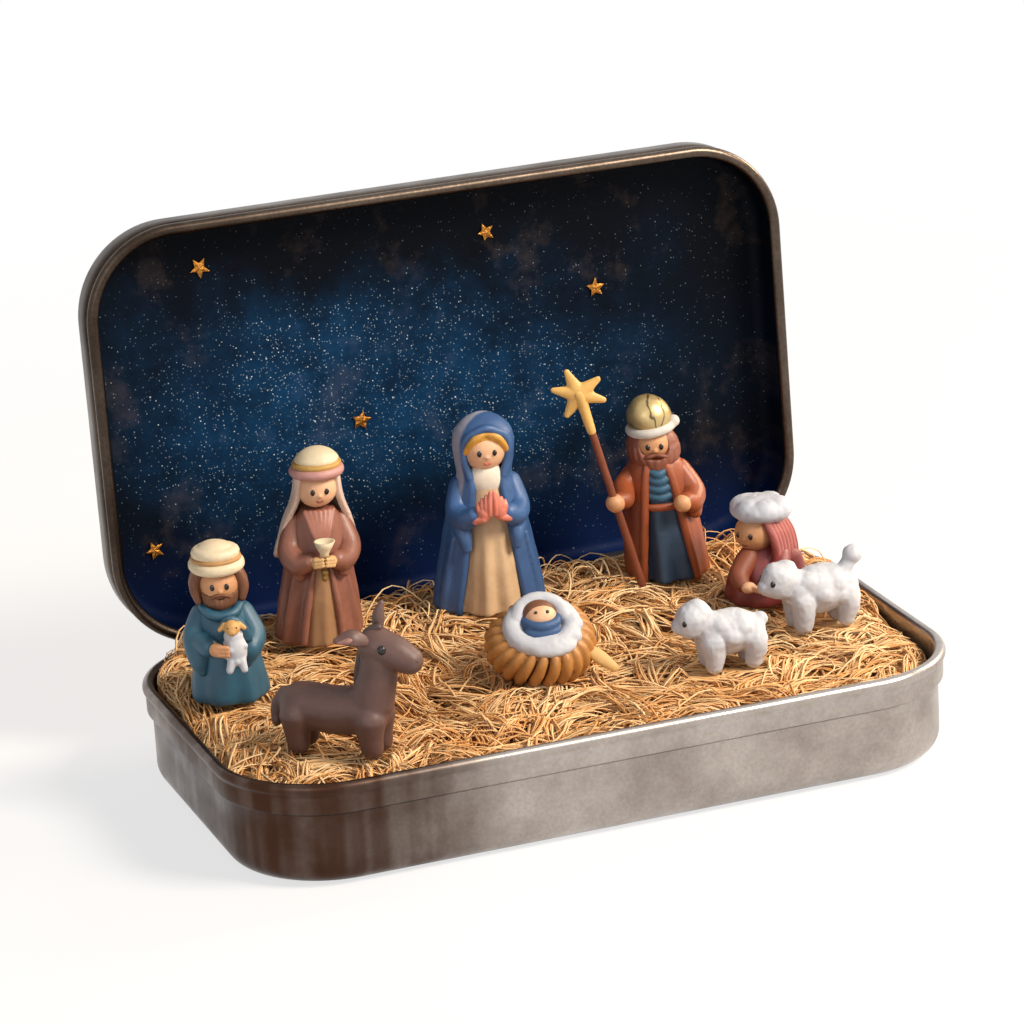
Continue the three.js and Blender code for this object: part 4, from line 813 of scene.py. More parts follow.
for i in range(11):
    a = math.radians(-75 + 15 * i)
    beard.append(limb((2.3 * math.sin(a), -0.5 - 1.95 * math.cos(a), 13.1 + 0.9 * abs(math.sin(a)), 0.3),
            (1.9 * math.sin(a), -0.45 - 1.95 * math.cos(a), 12.7, 0.38),
            (1.2 * math.sin(a), -0.4 - 1.9 * math.cos(a), 12.2, 0.3)))
beard += [limb((0.1 * side, -2.75, 14.0, 0.17), (side * 0.6, -2.7, 13.9, 0.2),
        (side * 1.1, -2.45, 13.65, 0.16)) for side in (-1, 1)]
press("shepherd_beard_clay", sculpt(beard, voxel=0.12, soften=2), hair_brown, "clay_brown_hair")
turban = [roll((0, -0.1, 17.3), (2.75, 2.65), 0.78, (4, 0, 0)), roll((0, 0, 18.75), (2.3, 2.25), 0.72),
    egg((0, 0, 18.9), (2.45, 2.35, 1.3))]
press("shepherd_turban_clay", sculpt(turban), cream_clay, "clay_cream", "shepherd_turban")
# A tan roll lies in the groove between the two turban rolls.
press("shepherd_turban_cord", sculpt([roll((0, -0.05, 18.05), (2.85, 2.75), 0.34)], voxel=0.14),
    clay("tan_groove_clay", "#b98a55", "#7d5630"), "clay_tan")
lamb = [egg((1.1, -5.0, 7.7), (1.45, 1.3, 2.2)), egg((1.0, -4.9, 9.4), (1.2, 1.1, 1.1))]
lamb += [limb((1.1 + dx, -5.7, 6.4, 0.6), (1.0 + 1.5 * dx, -6.1, 5.4, 0.48)) for dx in (-0.6, 0.6)]
lamb += [egg((1.1 + 1.1 * math.sin(2.4 * i), -5.4 - 0.5 * math.cos(1.3 * i), 6.4 + 0.3 * i), (0.5, 0.5, 0.5))
    for i in range(9)]
press("shepherd_lamb_clay", sculpt(lamb, voxel=0.15, soften=4), white_clay, "clay_white", "shepherd_lamb")
lamb_face = [egg((0.9, -5.5, 10.7), (1.0, 1.1, 0.95)), egg((0.8, -6.3, 10.4), (0.55, 0.5, 0.5)),
    limb((0.0, -5.3, 11.1, 0.32), (-0.6, -5.4, 10.5, 0.3)),
    limb((1.8, -5.3, 11.1, 0.32), (2.4, -5.4, 10.5, 0.3))]
press("shepherd_lamb_face", sculpt(lamb_face, voxel=0.13, soften=3),
    clay("tawny_clay", "#d0a060", "#8f602d"), "clay_ochre")
lamb_eyes = [egg((x, -6.3, 10.9), (0.17, 0.14, 0.17)) for x in (0.45, 1.35)]
press("shepherd_lamb_eyes", joined(*lamb_eyes), dark_bead)
hand = [egg((-1.2, -5.5, 8.0), (0.95, 0.8, 0.9))]
hand += [limb((-1.1, -6.0, 8.5 - 0.5 * i, 0.32), (0.1, -6.3, 8.4 - 0.5 * i, 0.3)) for i in range(3)]
press("shepherd_hand_clay", sculpt(hand, voxel=0.14, soften=3), tan_skin, "clay_tan_skin", "shepherd_hand")


# Robed bearer: a mauve robe whose front parts over a tan gown, pleats fanned at the neck, a long
# blush veil under a banded hat. Both hands hold a small cup, and a gilt knob closes the robe.
def wedge(low, high, half_low, half_high, back):
    ends = ((low, half_low), (high, half_high))
    return skin([[(-h, -12, z), (h, -12, z), (h, back, z), (-h, back, z)] for z, h in ends])


def cloak(rows, thick, folds=(), sides=60, steps=5):
    rings = []
    for z, rx, ry, oy, gap in between(rows, steps):
        outer, under = [], []
        fade = 1 - z / rows[-1][0]
        for j in range(sides + 1):
            a = math.radians(-90 + gap + (360 - 2 * gap) * j / sides)
            k = 1 + sum(depth * fade * math.cos(count * a + phase) for count, depth, phase in folds)
            outer.append((rx * k * math.cos(a), oy + ry * k * math.sin(a), z))
            in_x, in_y = max(rx * k - thick, 0.02), max(ry * k - thick, 0.02)
            under.append((in_x * math.cos(a), oy + in_y * math.sin(a), z))
        rings.append(outer + under[::-1])
    return skin(rings)


press = group("bearer", 0.055)
robe_rows = [
    (0, 5.1, 4.5, 0, 0.2), (0.8, 5.4, 4.7, 0, 0.2), (5, 5.0, 4.3, 0, 0.1), (10, 4.2, 3.7, 0, 0),
    (13.5, 3.6, 3.2, 0, 0), (15.6, 3.0, 2.7, 0, 0), (17, 2.0, 1.9, 0, 0),
]
robe = [drape(robe_rows, ((8, 0.045, 0.3), (13, 0.02, 1)))]
sleeves = []
for side in (-1, 1):
    sleeves.append(limb((side * 2.8, 0.2, 14.9, 1.35), (side * 3.7, -1.3, 12.0, 1.6),
            (side * 2.9, -3.4, 10.8, 1.45), (side * 1.8, -4.5, 11.2, 1.2)))
    sleeves.append(limb((side * 3.3, -2.3, 10.7, 1.1), (side * 2.8, -3.6, 9.3, 0.75)))
    robe.append(limb((side * 2.5, -4.2, 0.6, 0.55), (side * 1.95, -4.1, 5.0, 0.5),
            (side * 1.0, -3.7, 9.8, 0.45)))
    robe.append(limb((side * 4.5, -2.5, 0.6, 0.62), (side * 3.9, -2.6, 5.0, 0.58),
            (side * 3.1, -2.5, 9.6, 0.4)))
mauve = clay("mauve_clay", "#935f4d", "#40211a", 0.42)
press("bearer_robe_clay", sculpt(robe, [wedge(-1, 10.2, 2.3, 0.7, -2.6)], soften=3), mauve, "clay_mauve",
    "bearer_robe")
press("bearer_sleeves_clay", sculpt(sleeves, soften=3, voxel=0.16), mauve, "clay_mauve")
pleats = [limb((0.12 * a, -3.75, 12.8, 0.28), (0.36 * a, -3.15, 14.8, 0.4),
        (0.58 * a, -2.1 + 0.05 * a * a, 16.8, 0.38)) for a in range(-3, 4)]
press("bearer_pleats_clay", sculpt(pleats, voxel=0.14, soften=2),
    clay("rose_brown_clay", "#a26a58", "#5a2e24", 0.46), "clay_mauve")
gown = [drape([(0, 2.7, 2.2, 0, -2.7), (5, 2.15, 2.1, 0, -2.5), (10.2, 1.35, 1.6, 0, -2.5)],
        ((9, 0.05, 0.4), (5, 0.03, 1)))]
press("bearer_gown_clay", sculpt(gown), clay("tan_clay", "#a37a55", "#5f3d24", 0.5), "clay_tan",
    "bearer_gown")
peach = clay("peach_skin_clay", "#e4b48e", "#bb7f5e", 0.5)
head(press, "bearer", (0, -0.4, 19.5), (2.5, 2.4, 2.45), peach, "clay_peach_skin")
veil_rows = [
    (10.2, 5.3, 4.5, 0.6, 104), (11, 5.5, 4.6, 0.6, 92), (13, 5.0, 4.3, 0.5, 82), (15.5, 4.35, 3.8, 0.4, 72),
    (17.5, 3.6, 3.35, 0.2, 64), (19.3, 3.15, 3.0, 0.1, 58), (21.6, 2.9, 2.8, 0.0, 58),
]
blush = clay("blush_clay", "#d9c0b0", "#a07c6a", 0.5)
press("bearer_veil_clay", sculpt([cloak(veil_rows, 0.9, ((9, 0.02, 0),))], soften=4), blush, "clay_cream",
    "bearer_veil")
press("bearer_brim_clay", sculpt([roll((0, 0, 21.8), (2.85, 2.75), 0.68)]),
    clay("dusky_pink_clay", "#c08d86", "#84544d", 0.5), "clay_pink", "bearer_hat_brim")
press("bearer_band_clay", sculpt([roll((0, 0, 22.65), (2.75, 2.65), 0.42)], voxel=0.15),
    clay("ochre_clay", "#c0954c", "#83602a", 0.45), "clay_ochre", "bearer_hat_band")
crown = [egg((0, 0, 23), (2.7, 2.6, 1.75)), egg((0, 0, 23.2), (2.85, 2.75, 1.0))]
press("bearer_crown_clay", sculpt(crown), cream_clay, "clay_cream", "bearer_hat_crown")
hands = []
for side in (-1, 1):
    hands.append(egg((side * 0.95, -5.3, 11.35), (0.8, 0.75, 0.72), (0, side * -20, 0)))
    hands += [limb((side * 1.2, -5.8, 11.75 - 0.42 * i, 0.26), (side * 0.25, -6.1, 11.9 - 0.42 * i, 0.24))
        for i in range(3)]
press("bearer_hands_clay", sculpt(hands, voxel=0.1, soften=1), clay("honey_skin_clay", "#d9ae78", "#9c6f3f"),
    "clay_peach_skin", "bearer_hands")
cup_rings = []
cup_profile = ((0.3, 0), (0.6, 0), (0.55, 0.4), (0.95, 1.1), (1.35, 2.0), (1.15, 2.02), (0.75, 1.15),
    (0.3, 0.8))
(cup_x, cup_y, cup_foot), sides = (0.1, -5.2, 12), 28
turns = [2 * math.pi * j / sides for j in range(sides)]
for r, z in cup_profile:
    cup_rings.append([(cup_x + r * math.cos(a), cup_y + r * math.sin(a), cup_foot + z) for a in turns])
press("bearer_cup_clay", skin(cup_rings), cream_clay, "clay_cream", "bearer_cup")
knob = [egg((0.1, -5.2, 9.9), (0.5, 0.45, 0.5)), egg((0.1, -5.2, 9.2), (0.4, 0.4, 0.5))]
press("bearer_knob_clay", sculpt(knob, voxel=0.12, soften=2),
    clay("old_gold_clay", "#8a6a2c", "#4a3512", 0.35), "clay_dark_gold", "bearer_knob")


# Mother: a cream gown in long folds under a blue hooded mantle, which is one rolled-out sheet
# bent round the gown with a rolled edge. The upper back and left of the mantle and hood take a
# pale painted highlight. The hands are held together.
def hem(rows, side, inset, radius):
    knots = []
    for z, rx, ry, oy, gap in rows:
        a = math.radians(gap)
        knots.append((side * (rx - inset) * math.sin(a), oy - (ry - inset) * math.cos(a), z, radius))
    return knots


press = group("mother", 0.02)
gown = [drape([(0, 4.7, 4.8, 0, -0.8), (6, 3.9, 4.2, 0, -0.7), (12, 3.2, 3.4, 0, -0.5),
            (16.5, 2.3, 2.4, 0, -0.3), (17.6, 1.5, 1.6, 0, -0.3)], ((7, 0.075, 0.5), (12, 0.05, 2)))]
press("mother_gown_clay", sculpt(gown), clay("cream_gown_clay", "#ceae88", "#835833", 0.46), "clay_gown",
    "mother_gown")
press("mother_collar_clay", sculpt([egg((0, -1.3, 16.8), (2.4, 1.65, 2.5))], voxel=0.15),
    clay("ivory_clay", "#e8dccb", "#b39a80"), "clay_white")
mantle_rows = [
    (0, 6.9, 5.3, 0.5, 42), (0.8, 7.1, 5.5, 0.5, 41), (4, 6.65, 5.25, 0.45, 38), (9, 5.75, 4.7, 0.3, 35),
    (13, 4.9, 4.15, 0.2, 33), (15.6, 4.15, 3.7, 0.2, 33), (17.4, 3.55, 3.4, 0.2, 42),
    (19.2, 3.75, 3.5, 0.1, 53), (21.4, 3.95, 3.7, 0.05, 54), (22.7, 3.8, 3.6, 0.1, 44),
    (23.4, 3.45, 3.35, 0.15, 27), (23.8, 3.1, 3.05, 0.2, 2), (24.5, 2.3, 2.3, 0.3, 2),
    (25.0, 1.3, 1.35, 0.4, 2), (25.2, 0.6, 0.6, 0.4, 2),
]
mantle = [cloak(mantle_rows, 1.0, ((10, 0.024, 0.4), (17, 0.012, 1)))]
mantle.append(limb(*hem(mantle_rows[6:11], -1, 0.4, 0.55), (0, -2.7, 23.95, 0.55),
        *hem(mantle_rows[6:11], 1, 0.4, 0.55)[::-1]))
sleeves = []
for side in (-1, 1):
    mantle.append(limb(*hem(mantle_rows[:7], side, 0.5, 0.5)))
    mantle.append(limb((side * 6.0, -1.9, 0.7, 0.8), (side * 5.4, -2.2, 5.0, 0.72),
            (side * 4.5, -2.4, 9.6, 0.5)))
    sleeves.append(limb((side * 3.3, 0.0, 15.8, 1.4), (side * 3.9, -1.8, 13.2, 1.55),
            (side * 3.2, -3.9, 12.7, 1.45), (side * 2.2, -5.0, 13.4, 1.25)))
    sleeves.append(limb((side * 3.7, -2.6, 12.0, 1.3), (side * 3.4, -4.0, 10.2, 1.0),
            (side * 3.2, -4.4, 8.9, 0.65)))
blue = clay("cornflower_clay", "#3a5c8c", "#16294b", 0.46)
sleeve_blue = clay("cornflower_sleeve_clay", "#3d6192", "#16294b", 0.46)
tree = blue.node_tree
# Painted highlight: the upper back and left of the mantle are mixed towards pale grey.
spot = node(tree, "TexCoord").outputs["Object"]
axes = node(tree, "SeparateXYZ", {0: spot})
aside = node(tree, "Math", {0: axes.outputs["X"], 1: -0.45, 2: axes.outputs["Y"]}, operation="MULTIPLY_ADD")
rear = node(tree, "MapRange", {0: aside, 1: 0.0172, 2: 0.0180, 3: 0.0, 4: 1.0},
    interpolation_type="SMOOTHSTEP")
high = node(tree, "MapRange", {0: axes.outputs["Z"], 1: 0.0265, 2: 0.0335, 3: 0.0, 4: 0.7},
    interpolation_type="SMOOTHSTEP")
hood_painted_highlight = node(tree, "Math", {0: rear, 1: high}, operation="MULTIPLY")
shader = tree.nodes["Principled BSDF"]
under = shader.inputs["Base Color"].links[0].from_socket
node(tree, "Mix", {0: hood_painted_highlight, 6: under, 7: linear("#bdb8c2")}, shader.inputs["Base Color"], data_type="RGBA")
press("mother_mantle_clay", sculpt(mantle, soften=3, voxel=0.17), blue, "clay_blue", "mother_mantle")
press("mother_sleeves_clay", sculpt(sleeves, soften=3, voxel=0.16), sleeve_blue, "clay_blue")
head(press, "mother", (0, -0.95, 20.75), (2.75, 2.5, 2.75), peach, "clay_peach_skin", lip="#c05a4c")
fringe = [egg((0, -0.6, 21.25), (3.0, 2.65, 2.75))]
for side in (-1, 1):
    fringe += [limb((0.1 * side, -2.7 + 0.12 * i, 23.3 - 0.12 * i, 0.4),
            (side * 1.6, -2.85 + 0.3 * i, 22.6 - 0.1 * i, 0.48), (side * 2.85, -1.9 + 0.35 * i, 20.6, 0.4))
        for i in range(3)]
press("mother_hair_clay", sculpt(fringe, [egg((0, -3.9, 20.2), (2.6, 2.7, 2.35))], 0.15, 2),
    clay("golden_hair_clay", "#cf973f", "#8a5a1a", 0.45), "clay_gold_hair", "mother_hair")
hands = []
for side in (-1, 1):
    hands.append(egg((side * 1.0, -5.9, 13.9), (0.85, 0.75, 1.1), (0, side * 14, 0)))
    hands += [limb((side * (0.35 + 0.4 * i), -6.4 + 0.14 * i, 13.8, 0.32),
            (side * (0.36 + 0.46 * i), -6.55 + 0.2 * i, 15.2 - 0.2 * i, 0.33),
            (side * (0.22 + 0.5 * i), -6.4 + 0.26 * i, 16.7 - 0.5 * i, 0.24)) for i in range(4)]
    hands.append(limb((side * 1.2, -6.1, 13.2, 0.5), (side * 2.1, -5.6, 13.0, 0.65)))
press("mother_hands_clay", sculpt(hands, voxel=0.1, soften=1),
    clay("rosy_skin_clay", "#d9806c", "#9c281f", 0.42), "clay_rose", "mother_hands")


# King: a rust coat open over a navy tunic with a draped chest and a belt. A gilt cap sits in a
# pale rolled brim. One hand holds a thin staff that ends in a hand-cut star.
press = group("king", -0.07)
tunic = [drape([(0, 4.2, 3.8, 0.1, -0.6), (1.2, 3.95, 3.65, 0.1, -0.6), (5, 3.5, 3.3, 0, -0.5),
            (9, 3.0, 2.9, 0, -0.4), (13, 2.9, 2.7, 0, -0.3), (15.4, 2.0, 1.9, 0, -0.1)],
        ((7, 0.1, 0.2), (4, 0.05, 1)))]
navy = clay("navy_clay", "#22384e", "#0d1824", 0.5)
press("king_tunic_clay", sculpt(tunic, soften=4), navy, "clay_navy", "king_tunic")
chest = []
for z, wide in ((11.1, 1.9), (12.2, 1.8), (13.3, 1.6), (14.3, 1.1)):
    chest.append(limb((-wide, -2.5, z + 0.5, 0.45), (0, -3.1, z, 0.58), (wide, -2.5, z + 0.5, 0.45)))
press("king_chest_clay", sculpt(chest, voxel=0.16), clay("deep_teal_clay", "#2b5570", "#142c3e"), "clay_navy")
rust = clay("rust_clay", "#974c29", "#451d0f", 0.42)
press("king_belt_clay", sculpt([roll((0, -0.45, 9.9), (3.05, 2.9), 0.42, flat=1.3)], voxel=0.16), rust,
    "clay_rust", "king_belt")
staff_foot, staff_top = Vector((-3.9, -5.2, 0.3)), Vector((-8.6, -7.0, 25.0))
grip = staff_foot.lerp(staff_top, 0.47)
coat_rows = [
    (0, 5.2, 4.4, 0.2, 44), (0.8, 5.4, 4.6, 0.2, 43), (5, 5.1, 4.4, 0.2, 38), (9.5, 4.6, 4.0, 0.15, 33),
    (13, 4.2, 3.6, 0.1, 28), (15, 3.6, 3.2, 0.1, 24), (16.3, 2.6, 2.5, 0.1, 20),
]
coat = [cloak(coat_rows, 1.1, ((8, 0.025, 0.9), (15, 0.012, 0)))]
lapels = [limb(*hem(coat_rows, side, 0.35, 0.62)) for side in (-1, 1)]
sleeves = []
sleeves.append(limb((-3.0, 0, 13.6, 1.45), (-4.5, -1.7, 12.4, 1.5),
        (grip.x + 1.3, grip.y + 1.7, grip.z - 0.1, 1.3), (grip.x + 0.8, grip.y + 1.0, grip.z, 1.15)))
sleeves.append(limb((3.0, 0, 13.9, 1.5), (4.3, -1.3, 11.4, 1.65), (3.9, -3.3, 10.5, 1.45),
        (3.2, -4.2, 10.8, 1.2)))
sleeves.append(limb((4.3, -1.9, 10.6, 1.4), (4.2, -2.6, 8.8, 0.9)))
press("king_coat_clay", sculpt(coat, soften=3, voxel=0.17), rust, "clay_rust", "king_coat")
press("king_lapels_clay", sculpt(lapels, soften=3, voxel=0.16), rust, "clay_rust")
press("king_sleeves_clay", sculpt(sleeves, soften=3, voxel=0.16), rust, "clay_rust")
head(press, "king", (0, -0.5, 17.8), (2.45, 2.35, 2.4), tan_skin, "clay_tan_skin")
beard = [egg((0, 0.2, 17.3), (3.5, 2.9, 2.9))]
for i in range(11):
    a = math.radians(-85 + 17 * i)
    beard.append(limb((3.1 * math.sin(a), -0.1 - 2.3 * math.cos(a), 17.3, 0.5),
            (2.8 * math.sin(a), -0.25 - 2.5 * math.cos(a), 16.1, 0.58),
            (1.5 * math.sin(a), -0.7 - 2.0 * math.cos(a), 15.0, 0.52)))
press("king_beard_clay", sculpt(beard, [egg((0, -3.6, 18.2), (2.45, 2.55, 2.0))], 0.15, 3),
    clay("auburn_clay", "#824832", "#452012", 0.48), "clay_auburn", "king_beard")
moustache = [limb((0.1 * side, -2.95, 16.9, 0.26), (side * 0.9, -2.9, 16.7, 0.32),
        (side * 1.8, -2.35, 16.2, 0.28)) for side in (-1, 1)]
press("king_moustache_clay", sculpt(moustache, voxel=0.12, soften=2),
    clay("chestnut_hair_clay", "#784029", "#42200f"), "clay_auburn")
brim = [roll((0, -0.1, 19.95), (2.7, 2.6), 0.66, (3, -8, 0)), egg((3.0, -0.9, 20.75), (0.8, 0.75, 0.8))]
press("king_brim_clay", sculpt(brim), clay("pale_grey_clay", "#d2cdc6", "#938c84"), "clay_grey", "king_brim")
gilt_clay = clay("antique_gilt_clay", "#c2ab78", "#6a5126", 0.36)
tree = gilt_clay.node_tree
shader = tree.nodes["Principled BSDF"]
shader.inputs["Metallic"].default_value = 0.55
spot = node(tree, "TexCoord").outputs["Object"]
stray = node(tree, "TexNoise", {"Vector": spot, "Scale": 420, "Detail": 2})
bent = node(tree, "VectorMath", {0: stray.outputs["Color"], 1: (0.0016, 0.0016, 0.0016), 2: spot},
    operation="MULTIPLY_ADD")
leafs = node(tree, "TexVoronoi", {"Vector": bent, "Scale": 300}, feature="DISTANCE_TO_EDGE")
seam = node(tree, "MapRange", {0: leafs.outputs["Distance"], 1: 0.012, 2: 0.045, 3: 0.85, 4: 0.0})
under = shader.inputs["Base Color"].links[0].from_socket
node(tree, "Mix", {0: seam, 6: under, 7: linear("#3a2912")}, shader.inputs["Base Color"], data_type="RGBA")
dome, below_brim = egg((0, 0, 21.0), (3.0, 2.9, 3.2), (0, -8, 0)), box_shape((-9, -9, 10), (9, 9, 19.6))
press("king_cap_clay", sculpt([dome], [below_brim]), gilt_clay, "clay_antique_gold", "king_cap")
press("king_staff_hand_clay", sculpt([egg(grip, (1.25, 1.2, 1.25))], voxel=0.15), tan_skin, "clay_tan_skin",
    "king_staff_hand")
press("king_free_hand_clay", sculpt([egg((2.5, -5.0, 10.8), (1.15, 1.1, 1.15))], voxel=0.15), tan_skin,
    "clay_tan_skin", "king_free_hand")
staff_end = staff_foot.lerp(staff_top, 0.93)
staff = [limb((*staff_foot, 0.57), (*staff_foot.lerp(staff_top, 0.5), 0.54), (*staff_end, 0.5))]
press("king_staff_clay", sculpt(staff, voxel=0.14), clay("staff_clay", "#7a3d24", "#43200f"), "clay_rust",
    "king_staff")
hub = staff_top + Vector((-0.5, 0, 2.1))
arms = [limb((*hub, 1.25), (hub.x + 3.2 * math.cos(a), hub.y, hub.z + 3.2 * math.sin(a), 0.4))
    for a in (math.radians(d) for d in (110, 166, 236, -18, 34))]
star_verts, star_faces = sculpt(arms, voxel=0.15, soften=3)
star_verts = [(x, hub.y + (y - hub.y) * 0.65, z) for x, y, z in star_verts]
yellow = clay("yellow_clay", "#dcae62", "#a06f2c", 0.46)
press("king_star_clay", (star_verts, star_faces), yellow, "clay_yellow", "king_star")
stem = [limb((*hub, 0.95), (*staff_top, 0.72), (*staff_foot.lerp(staff_top, 0.88), 0.62))]
press("king_star_stem", sculpt(stem, voxel=0.14), yellow, "clay_yellow")


# Kneeling shepherd: a low burgundy robe spread over the knees, hands held out, long hair over the
# shoulder with every other strand a paler rose as painted highlights, and a soft white cap, puffed
# and creased where it was gathered.
press = group("kneeler")
robe = [drape([(0, 4.6, 4.4, 0, 0.2), (0.7, 4.9, 4.7, 0, 0.2), (3, 4.4, 4.2, 0, 0.1), (5.2, 3.6, 3.4, 0, 0),
            (6.8, 2.5, 2.4, 0, 0), (7.6, 1.6, 1.6, 0, 0)], ((8, 0.05, 0.5), (13, 0.02, 0)))]
robe.append(limb((2.2, -1.6, 6.0, 1.4), (1.7, -4.0, 4.6, 1.2), (-0.2, -5.3, 3.7, 0.95)))
robe.append(limb((1.4, 0.2, 6.6, 1.7), (3.4, 0.4, 5.0, 1.7), (4.1, 0.4, 2.6, 1.5)))
burgundy = clay("burgundy_clay", "#7a302d", "#350f10", 0.42)
press("kneeler_robe_clay", sculpt(robe, soften=3), burgundy, "clay_burgundy", "kneeler_robe")
sleeve = [limb((-1.8, -1.8, 6.2, 1.4), (-3.2, -3.6, 4.6, 1.35), (-3.0, -4.9, 3.7, 1.1))]
press("kneeler_sleeve_clay", sculpt(sleeve, voxel=0.16), clay("chestnut_clay", "#85452c", "#4a2412"),
    "clay_sleeve_brown", "kneeler_sleeve")
hands = [egg((-2.2, -5.9, 3.5), (1.0, 0.8, 0.75))]
hands += [limb((-2.0 + 0.3 * i, -6.2, 3.8 - 0.3 * i, 0.28), (-1.2 + 0.2 * i, -6.7, 3.7 - 0.3 * i, 0.25))
    for i in range(3)]
press("kneeler_hands_clay", sculpt(hands, voxel=0.13, soften=3), peach, "clay_peach_skin", "kneeler_hands")
head(press, "kneeler", (-0.9, -0.7, 9.2), (2.6, 2.45, 2.5), tan_skin, "clay_tan_skin", look=-38)
strands = [[egg((0.3, 0.4, 9.1), (2.8, 2.5, 2.7))], []]
for i in range(13):
    t = i / 12
    strands[i % 2].append(limb((0.3 + 2.3 * t, -2.5 + 3.1 * t, 11.1, 0.42),
            (1.2 + 2.5 * t, -3.0 + 3.6 * t, 9.0, 0.5), (1.6 + 2.6 * t, -3.1 + 3.6 * t, 7.0, 0.48),
            (1.5 + 2.9 * t, -3.2 + 3.6 * t, 5.2 - 0.4 * math.sin(5 * i), 0.26)))
opening = egg((-2.6, -2.6, 9.2), (2.5, 2.2, 2.6))
press("kneeler_hair_clay", sculpt(strands[0], [opening], 0.14, 2),
    clay("rose_hair_clay", "#8f413b", "#4c1b19", 0.42), "clay_red_hair", "kneeler_hair")
# Painted highlights: every other strand is made in a paler rose.
press("kneeler_hair_streaks", sculpt(strands[1], voxel=0.13, soften=2),
    clay("pale_rose_highlight_clay", "#aa625a", "#6e3331", 0.42), "clay_red_hair")
cap = [egg((0, 0, 12.1), (4.0, 3.7, 1.75))]
for i in range(9):
    a = 2 * math.pi * i / 9 + 0.5 * math.sin(2.7 * i)
    cap.append(egg((2.2 * math.cos(a), 2.0 * math.sin(a), 12.2 + 0.25 * math.sin(3.1 * i)),
            (1.9 + 0.2 * math.sin(5 * i), 1.75, 1.5)))
creases = [limb((-0.9, -0.9, 14.0, 0.16), (-0.9 + 2.6 * math.cos(a), -0.9 + 2.4 * math.sin(a), 13.5, 0.15),
        (-0.6 + 3.9 * math.cos(a + 0.15), -0.5 + 3.6 * math.sin(a + 0.15), 12.2, 0.12))
    for a in (-2.5, -1.7, -0.75, 0.1, 1.2, 2.4)]
cap_clay = clay("cool_white_clay", "#bec1cb", "#70768c", 0.6, 0.3)
press("kneeler_cap_clay", sculpt(cap, creases, 0.15, 3, 0.12), cap_clay, "clay_white", "kneeler_cap")


# Donkey: one lump of taupe clay drawn out into four short legs, a thick neck and a blunt head.
# Ears and tail are pressed on, and the eyes are black beads.
press = group("donkey")
body = [
    limb((-4.7, 0, 5.9, 2.9), (0, 0, 5.5, 3.0), (3.7, 0, 5.9, 2.95)),
    limb((4.4, 0, 7.0, 2.75), (5.3, 0, 10.2, 2.4), (5.7, 0, 12.8, 2.3)),
    limb((5.4, 0, 14.1, 2.35), (7.8, 0, 13.3, 2.15), (9.5, 0, 12.5, 1.75)),
    limb((-7.0, 0, 7.4, 0.75), (-8.1, -0.2, 5.8, 0.65), (-8.1, -0.3, 3.6, 0.75)),
]
for x in (4.5, -5.0):
    body += [limb((x, y, 5.0, 2.1), (x, y * 1.02, 3.0, 1.6), (x + 0.1, y * 1.02, 1.5, 1.45))
        for y in (-1.5, 1.5)]
donkey_clay = clay("taupe_clay", "#5d423c", "#261814", 0.5, 0.3)
press("donkey_body_clay", sculpt(body, soften=16), donkey_clay, "clay_donkey", "donkey_body")
mane = [limb((2.6, 0, 8.6, 0.5), (3.0, 0, 10.4, 0.7), (3.5, 0, 12.6, 0.75), (4.4, 0, 15.4, 0.8),
        (5.8, 0, 16.4, 0.5))]
press("donkey_mane_clay", sculpt(mane, voxel=0.16, soften=4), clay("dark_taupe_clay", "#43312c", "#231611"),
    "clay_donkey")
near_ear = limb((4.9, -1.7, 15.2, 0.7), (3.6, -2.8, 15.9, 1.15), (2.0, -3.8, 15.8, 0.5), flat=0.6)
press("donkey_near_ear_clay", sculpt([near_ear], voxel=0.15, soften=3), donkey_clay, "clay_donkey",
    "donkey_near_ear")
ear_lining = [limb((4.2, -2.5, 15.5, 0.35), (3.3, -3.4, 15.65, 0.65), (2.3, -4.0, 15.6, 0.3), flat=0.7)]
press("donkey_ear_lining", sculpt(ear_lining, voxel=0.13, soften=3),
    clay("pink_ear_clay", "#9a6f66", "#6a413a"), "clay_pink")
far_ear = [limb((5.3, 1.1, 15.6, 0.65), (5.3, 1.4, 17.4, 0.75), (5.7, 1.7, 19.0, 0.3))]
press("donkey_far_ear_clay", sculpt(far_ear, voxel=0.15, soften=3), donkey_clay, "clay_donkey",
    "donkey_far_ear")
beads = [egg((6.9, y, 14.3), (0.55, 0.4, 0.6)) for y in (-2.0, 2.0)]
beads += [egg((10.7, y, 12.7), (0.24, 0.2, 0.28)) for y in (-0.8, 0.8)]
press("donkey_eyes", joined(*beads), dark_bead)


# Two sheep: white clay bodies pressed over with soft lumps of wool, on four stub legs, with a
# smooth blunt head and black bead eyes. The rear one holds its tail up.
def wool(centre, radii, count, lump, seed):
    random.seed(seed)
    lumps = [egg(centre, [r - 0.16 * lump for r in radii])]
    for i in range(count):
        z = 1 - 2 * (i + 0.5) / count
        a = 2.4 * i + random.uniform(-0.3, 0.3)
        flat = math.sqrt(1 - z * z)
        way = (flat * math.cos(a), flat * math.sin(a), z)
        p = [c + (r - 0.9 * lump) * d for c, r, d in zip(centre, radii, way)]
        size = lump * random.uniform(0.75, 1.1)
        lumps.append(egg(p, (size, size, size * 0.85), rows=10, sides=14))
    return lumps


